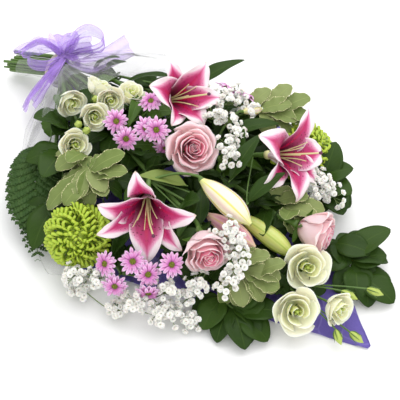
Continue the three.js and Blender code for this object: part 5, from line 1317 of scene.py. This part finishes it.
HEAVY = [(b["place"], b["face"], 30, 46) for b in LILIES]
HEAVY += [(b["place"], b["face"], -20, 36) for b in ROSES]
HEAVY += [(b["place"], b["face"], 0, 48) for b in GREEN_MUMS]
HEAVY += [(b["place"], b["face"], -14, 27 * b["size"]) for b in LISIANTHUSES]
BALLS = [(np.array(p, float) + looking(f) * shift, radius) for p, f, shift, radius in HEAVY]
BALLS += [(np.array(place, float), 15.0) for spray in PINK_SPRAYS for place, _ in spray["heads"]]
VIEW = unit(np.subtract(CAMERA_PLACE, CAMERA_TARGET))


def mound(x, y):
    """Height that the bouquet's rounded top reaches at a place."""
    along = 1 - ((x + 60) / (400 if x < -60 else 300)) ** 2 * (0.95 if x < -60 else 0.8)
    return 25 + 112 * math.sqrt(max(0.0, 1 - (y / 240) ** 2)) * max(0.1, along)


def hidden_under(point, margin=4.0):
    """True where a point would lie in a bloom, or in front of one as the photograph looks at it."""
    for middle, radius in BALLS:
        offset = point - middle
        ahead = offset @ VIEW
        aside = np.linalg.norm(offset - ahead * VIEW)
        if np.linalg.norm(offset) < radius or (ahead > 0 and aside < radius - margin):
            return True
    return False


DRESS_FROM = -235.0
DRESS = {
    "lily": dict(half=9.0, peak=0.42, blunt=0.9, cup=0.35, wave=0.8, waves=2, fold=0.1, length=(60, 88)),
    "rose": dict(half=15.0, peak=0.45, blunt=0.75, cup=0.3, wave=0.8, waves=3, serrate=0.06, length=(42, 62)),
    "mum": dict(half=16.0, peak=0.55, blunt=0.7, cup=0.3, wave=1.6, waves=4, serrate=0.1, length=(46, 66)),
    "lisianthus": dict(half=10.0, peak=0.45, blunt=0.8, cup=0.3, wave=0.5, waves=2, length=(34, 52)),
}


def understory():
    """Dark leaves that fill the inside of the bouquet, each on a stalk of the stem beside it; their dark
    colour is also painted shade in the gaps between the blooms.
    """
    piece = Piece()
    names = [f"{kind}_{k}" for kind in ("lily", "rose") for k in (1, 2, 3)]
    lines = [stalk_line(f"{name}_stem", 300) for name in names]
    lines += [stalk_line(f"chrysanthemum_green_stem_{k}", 300) for k in (1, 2)]
    lines += [stalk_line(f"lisianthus_stem_{k}", 300) for k in (1, 2, 3)]
    lines += [stalk_line(f"chrysanthemum_pink_spray_{k}", 300) for k in (1, 2, 3)]
    lines += [stalk_line(name, 300) for name in FOLIAGE]
    stalks = np.vstack([line for line in lines if len(line)])
    xs, halves = zip(*TISSUE_EDGE)
    for x in np.arange(-212.0, 214.0, 15.0):
        room = np.interp(x, xs, halves) - 22
        for y in np.arange(-room, room, 15.0):
            spot = np.array([x + draw.uniform(-7, 7), y + draw.uniform(-7, 7), 0.0])
            spot[2] = max(9.0, mound(spot[0], spot[1]) * draw.uniform(0.12, 0.62))
            if hidden_under(spot, 8.0):
                spot[2] = draw.uniform(9, 24)
            gaps = np.linalg.norm(stalks - spot, axis=1)
            root = stalks[np.argmin(np.abs(gaps - 38))]
            long = np.linalg.norm(spot - root)
            if long > 62:
                start = spot + (root - spot) * 46 / long
                piece.tube(curve([root, (root + start) / 2 + np.array([0, 0, 2.0]), start], 6), 0.8, 5)
                root = start
            leaf(
                piece, root, spot, draw.uniform(9, 15), tone=draw.uniform(0, 0.35), look=1,
                phase=draw.uniform(0, 6), roll=draw.uniform(-40, 40), rise=0.12, peak=0.5, blunt=0.7,
                rows=14, columns=7, wave=0.8, waves=3
            )
    piece.build("inner_leaves", "leaf_dark", (STEM, DARK_LEAF_AND_SHADE))


def dress(piece, line, kind, step):
    """Leaves up a stalk past the tie, turned about it in steps.

    One that would show before a bloom is left out.
    """
    shape = dict(DRESS[kind])
    shortest, longest = shape.pop("length")
    fine = curve(line, 200)
    turn = draw.uniform(0, 360)
    x = DRESS_FROM
    while x < fine[-1][0] - 12:
        spot = fine[np.argmin(np.abs(fine[:, 0] - x))]
        x += step * draw.uniform(0.7, 1.2)
        turn += 137.5
        for attempt in range(6):
            angle = math.radians(turn + 55 * attempt)
            way = unit([0.75, math.cos(angle), 0.25 + 0.8 * math.sin(angle)])
            tip = spot + way * draw.uniform(shortest, longest)
            tip[2] = min(tip[2], mound(tip[0], tip[1]) - 4)
            if tip[2] < 8 or abs(tip[1]) > 205 or hidden_under(tip) or hidden_under((tip + spot) / 2, 10.0):
                continue
            leaf(piece, spot, tip, tone=draw.uniform(0, 0.5), look=1 if draw.uniform() < 0.65 else 2,
                 phase=draw.uniform(0, 6), roll=draw.uniform(-25, 25), rise=0.14, **shape)
            break


# ---- Film, tissue, string and bow ----
WRAP = [
    # x, half width of the flat, radius of the curl at each side, turn of the curl, height, sideways shift
    (-352, 0.6, 22.6, 140, 13.6, -20.1),
    (-328, 0.6, 22.6, 150, 20.9, -10.3),
    (-303, 0.6, 22.6, 155, 28.4, 0.0),
    (-283, 0.6, 22.6, 155, 28.4, 0.0),
    (-255, 24, 40, 125, 8.4, 0.0),
    (-222, 70, 52, 100, 0.8, 0.0),
    (-180, 115, 52, 70, 0.8, 0.0),
    (-115, 168, 48, 55, 0.8, 0.0),
    (-40, 214, 40, 25, 0.8, 0.0),
    (30, 150, 40, 8, 0.8, 0.0),
    (85, 118, 40, 4, 0.8, 0.0),
]
TISSUE_EDGE = [
    (-303, 13), (-283, 13), (-255, 24), (-222, 68), (-180, 112), (-115, 165), (-40, 208), (30, 166)
]
TISSUE_EDGE += [(85, 135), (118, 117), (222, 58), (326, 3)]
KNOT = np.array([-287.0, 3.0, 78.7])
RIBBON_WIDTH = 38.0
CLOTH_THICK = 0.25  # film and organza
TISSUE_THICK = 0.3
LOOPS = [
    dict(
        points=[
            (-301, -6, 93), (-315, -17, 93), (-323, -32, 84), (-320, -39, 75), (-305, -36, 73),
            (-288, -26, 79)
        ],
        side=(0.15, -0.14, 0.98),
    ),
    dict(
        points=[(-301, 6, 92), (-311, 15, 95), (-312, 22, 92), (-307, 25, 85), (-295, 15, 82)],
        side=(0.7, 0.7, 0.1)
    ),
    dict(
        points=[
            (-286, 20, 96), (-287, 33, 104), (-281, 47, 108), (-266, 54, 103), (-253, 50, 97),
            (-252, 33, 96)
        ],
        side=(0.24, -0.22, 0.95),
    ),
    dict(
        points=[(-283, 9, 93), (-275, 22, 98), (-265, 33, 98), (-259, 30, 98), (-269, 16, 98)],
        side=(0.17, -0.16, 0.97)
    ),
]
TAILS = [
    dict(points=[(-257, 1, 90), (-234, 8, 96), (-226, 38, 97), (-224, 75, 99)], side=(-0.57, 0.11, 0.81)),
    dict(
        points=[(-304, -11, 100), (-317, -19, 101), (-325, -30, 95), (-334, -48, 84)],
        side=(0.42, -0.38, 0.83)
    ),
    dict(
        points=[(-276, -29, 78), (-282, -40, 65), (-286, -52, 53), (-287, -69, 38), (-286, -80, 27)],
        side=(0.68, -0.15, 0.72)
    ),
    dict(points=[(-269, -27, 84), (-267, -43, 74), (-269, -57, 59), (-272, -71, 42)], side=(0.75, 0.0, 0.66)),
]


def crumple(grid, size, depth, seed):
    """Height of crossing soft creases at the places of a grid."""
    shift = mathutils.Vector((seed, 0.0, 0.0))
    flat = grid.reshape(-1, 3) / size
    heights = [
        mathutils.noise.ridged_multi_fractal(mathutils.Vector(p) + shift, 0.9, 2.1, 4, 0.9, 1.8) for p in flat
    ]
    return depth * np.array(heights).reshape(grid.shape[:2])


def wrap_spot(x, along, inset=0.0):
    """Place on the wrap at a signed distance along it from its middle line."""
    xs = [row[0] for row in WRAP]
    flat, radius, turn, floor, shift = (np.interp(x, xs, [row[k] for row in WRAP]) for k in range(1, 6))
    curl = radius - inset
    past = np.clip((np.abs(along) - flat) / curl, 0, None)
    y = np.sign(along) * (np.minimum(np.abs(along), flat) + curl * np.sin(past))
    return y + shift, floor + inset + curl * (1 - np.cos(past)), flat + np.radians(turn) * curl


def spread_sheet(grid, thick, *names):
    """Built sheet over a grid, with the width, length and area of its flat cut in metres."""
    piece = Piece()
    piece.shell(grid, thick)
    across = np.linalg.norm(np.diff(grid, axis=1), axis=-1).sum(1)
    along = np.linalg.norm(np.diff(grid, axis=0), axis=-1).sum(0)
    patches = np.linalg.norm(
        np.cross(np.diff(grid, axis=0)[:, :-1], np.diff(grid, axis=1)[:-1]), axis=-1
    ).sum()
    made = piece.build(*names)
    return made, float(across.max() * MM), float(along.max() * MM), float(patches * MM * MM)


def film():
    """Clear wrap: a trough under the flowers, gathered round the stems at the tie."""
    x = np.linspace(-352, 85, 96)[:, None]
    share = np.linspace(-1, 1, 91)[None, :]
    _, _, half = wrap_spot(x, 0 * share)
    y, z, _ = wrap_spot(x, share * half)
    gather = np.exp(-(((x + 293) / 42.0) ** 2))
    fan = np.clip((-120 - x) / 150, 0, 1) * np.clip((x + 330) / 60, 0, 1)
    pleat = np.sin(share * 46 + 0.5 * np.sin(x / 19)) + 0.6 * np.sin(share * 83 + 1.3)
    edge = np.abs(share) ** 1.5
    lift = pleat * (1.3 * gather + 2.4 * fan * edge)
    grid = grid_of(x, y + lift * 0.4, z + lift * 0.6 * edge)
    wave = crumple(grid, 70.0, 5.0, 3.0)
    grid[..., 2] = np.maximum(grid[..., 2] + (wave - 4) * edge, 0.7)
    made, width, length, area = spread_sheet(grid, CLOTH_THICK, "film_trough", "film", (FILM,), "film_wrap")


def flap():
    """The flap of film over the top of the stems, creased along its folds and open towards the flowers."""
    t, s = spread_of(70, 61)
    x = -278 + 116 * t + 14 * np.sin(3.1 * s + 0.6) * t - 26 * np.abs(s) ** 3 * t
    wide = 24 + 112 * t**0.85
    y = wide * s - 10 * t
    crown = 74 + 58 * np.sin(np.pi / 2 * t) ** 0.8
    z = 20 + (crown - 20) * np.sqrt(np.clip(1 - np.abs(s) ** 2.4, 0, 1)) + 2 * t
    folds = np.abs(np.sin(7.5 * s + 0.8 * t + 0.7)) ** 0.6 + 0.5 * np.abs(np.sin(17 * s + 2.1 - t)) ** 0.7
    grid = grid_of(x, y, z + 8 * folds * (0.35 + 0.65 * t) - 5)
    grid[..., 2] = np.maximum(grid[..., 2] + crumple(grid, 46.0, 3.5, 9.0) - 3, 3.0)
    made, width, length, area = spread_sheet(grid, CLOTH_THICK, "film_flap", "film", (FILM,))


def tissue():
    """Violet tissue laid in the film, crinkled all over, its far corner clear of the flowers."""
    xs, halves = zip(*TISSUE_EDGE)
    x = np.concatenate([np.linspace(-303, -40, 50), np.linspace(-36, 326, 74)])[:, None]
    share = np.linspace(-1, 1, 75)[None, :]
    half = np.interp(x, xs, halves)
    y, z, _ = wrap_spot(np.minimum(x, 85), share * half, 2.0)
    z = np.where(x > 30, 1.2, z)
    y = np.where(x > 85, share * half, y)
    grid = grid_of(x, y, z)
    loose = np.clip((x + 285) / 60, 0, 1)
    rim = 1 + 1.4 * ease(0.8, 1.0, np.abs(share))
    wave = crumple(grid, 34.0, 1.5, 1.0) + crumple(grid, 90.0, 1.6, 5.0)
    grid[..., 2] = np.maximum(grid[..., 2] + np.maximum(wave - 2.2, -0.4) * loose * rim, 0.9)
    made, width, length, area = spread_sheet(
        grid, TISSUE_THICK, "tissue_crumpled", "tissue", (TISSUE,), "tissue_sheet"
    )


def strip(piece, path, side, width, ruffles, phase):
    """Ribbon along a path: gathered into pleats wherever it is narrower than its cut width."""
    side = unit(side)
    ahead = unit(np.gradient(path, axis=0))
    across = unit(side - ahead * (ahead @ side)[:, None])
    normal = np.cross(ahead, across)
    s = np.linspace(-0.5, 0.5, 19)
    spare = np.sqrt(np.maximum(RIBBON_WIDTH**2 - width**2, 0)) / (4 * ruffles)
    wave = np.sin(2 * np.pi * ruffles * s[None, :] + phase) * spare[:, None]
    roll = 1.2 * np.sin(2.2 * np.linspace(0, 2 * np.pi, len(path)) + phase)[:, None] * (2 * s[None, :]) ** 2
    grid = path[:, None, :] + across[:, None, :] * (s[None, :] * width[:, None])[..., None]
    grid = grid + normal[:, None, :] * (wave + roll)[..., None]
    piece.shell(grid, CLOTH_THICK)
    return np.linalg.norm(np.diff(path, axis=0), axis=1).sum()


def bow():
    """Organza bow: loops, tails and the pleated knot over the tie."""
    piece = Piece()
    total = 0.0
    for k, loop in enumerate(LOOPS):
        points = np.array(loop["points"], float)
        ends = [KNOT + 6 * unit(points[k] - KNOT) for k in (0, -1)]
        path = curve([ends[0], *points, ends[1]], 64)
        t = np.linspace(0, 1, 64)
        width = RIBBON_WIDTH * (0.24 + 0.74 * np.sin(np.pi * t) ** 0.7)
        total += strip(piece, path, loop["side"], width, 2.5, 1.1 * k)
    for k, tail in enumerate(TAILS):
        first = np.array(tail["points"][0], float)
        root = KNOT + unit(first - KNOT) * 6
        path = curve([root, *tail["points"]], 48)
        width = RIBBON_WIDTH * (0.24 + 0.66 * np.linspace(0, 1, 48) ** 0.5)
        total += strip(piece, path, tail["side"], width, 2.0, 2.0 * k)
    ring = []
    for angle in np.linspace(0, 2 * np.pi, 49):
        ring.append((KNOT[0] - 3, 25.0 * math.cos(angle), TIE_HEIGHT + 25.0 * math.sin(angle)))
    total += strip(piece, np.array(ring), (1, 0, 0.02), np.full(49, 12.0), 3.0, 0.4)
    turn = []
    for angle in np.linspace(-0.4, 2 * np.pi - 0.2, 30):
        turn.append(KNOT + np.array([1.5 * math.sin(angle), 8.5 * math.cos(angle), 6.6 * math.sin(angle)]))
    total += strip(piece, np.array(turn), (1, 0.1, 0.1), np.full(30, 13.0), 3.0, 0.9)
    made = piece.build("bow_ribbon", "ribbon", (RIBBON,), "ribbon_bow")


def string():
    """Twine wound round the film at the tie."""
    turns = 5
    angles = np.linspace(0, 2 * np.pi * turns, 40 * turns)
    x = -301.5 + 2.1 * angles / (2 * np.pi) + 0.3 * np.sin(3 * angles)
    path = np.column_stack([x, 25.0 * np.cos(angles), TIE_HEIGHT + 25.0 * np.sin(angles)])
    piece = Piece()
    piece.tube(path, 1.15, 8)
    piece.build("twine", "string", (STRING,), "binding_tie")


# ---- The whole bouquet ----
MAKERS = [
    (LILIES, (lily, lily_stem)),
    (LILY_BUDS, (lily_bud,)),
    (ROSES, (rose, rose_stem)),
    (LISIANTHUSES, (lisianthus,)),
    (LISIANTHUS_FORKS, (lisianthus_stem,)),
    (GREEN_MUMS, (green_mum, mum_stem)),
    (PINK_SPRAYS, (pink_spray,)),
    (VEILS, (veil,)),
]


def flowers():
    for rows, makers in MAKERS:
        for k in range(len(rows)):
            for make in makers:
                make(k)


def greens():
    for name in FOLIAGE:
        kind = name.split("_")[0]
        paint, slot = {
            "pittosporum": (SAGE_LEAF, "leaf_sage"),
            "ruscus": (DARK_LEAF_AND_SHADE, "leaf_dark"),
            "broad": (DARK_LEAF_AND_SHADE, "leaf_broad"),
        }[kind]
        foliage(name).build(f"{name}_leafage", slot, (paint, STEM), name)
    for k in range(len(FERNS)):
        fern(k)
    understory()


WORLD_STRENGTH = 0.8
# Place in metres, size in metres and power in watts of each soft light.
LAMPS = [((-0.5, 0.9, 2.2), 2.6, 42.0), ((1.2, -1.0, 1.8), 2.2, 18.0)]


def aim(thing):
    """Turn a lamp or the camera to the camera's target."""
    way = mathutils.Vector(CAMERA_TARGET) - thing.location
    thing.rotation_euler = way.to_track_quat("-Z", "Y").to_euler()


def surroundings():
    """White surface, soft light from above and the camera."""
    bpy.ops.mesh.primitive_plane_add(size=8.0, location=(0, 0, 0))
    floor = bpy.context.object
    floor.name = "surface"
    p = Paint("white surface", 0.9, Specular_IOR_Level=0.1)
    floor.data.materials.append(p.done(p.mix(p.noise(3.0, 2.0), (0.94, 0.94, 0.94), (0.95, 0.95, 0.95))))
    world = bpy.data.worlds.new("white room")
    bpy.context.scene.world = world
    world.use_nodes = True
    world.node_tree.nodes["Background"].inputs[0].default_value = WHITE
    world.node_tree.nodes["Background"].inputs[1].default_value = WORLD_STRENGTH
    for k, (place, size, power) in enumerate(LAMPS):
        data = bpy.data.lights.new(f"soft light {k + 1}", "AREA")
        data.shape = "SQUARE"
        data.size = size
        data.energy = power
        lamp = bpy.data.objects.new(f"soft light {k + 1}", data)
        lamp.location = place
        aim(lamp)
        bpy.context.scene.collection.objects.link(lamp)
    camera = bpy.data.objects.new("camera", bpy.data.cameras.new("camera"))
    camera.data.lens = CAMERA_LENS
    camera.data.clip_end = 20.0
    camera.location = CAMERA_PLACE
    aim(camera)
    bpy.context.scene.collection.objects.link(camera)
    bpy.context.scene.camera = camera
    bpy.context.scene.view_settings.view_transform = "Standard"


film()
flap()
tissue()
bow()
string()
flowers()
greens()
surroundings()
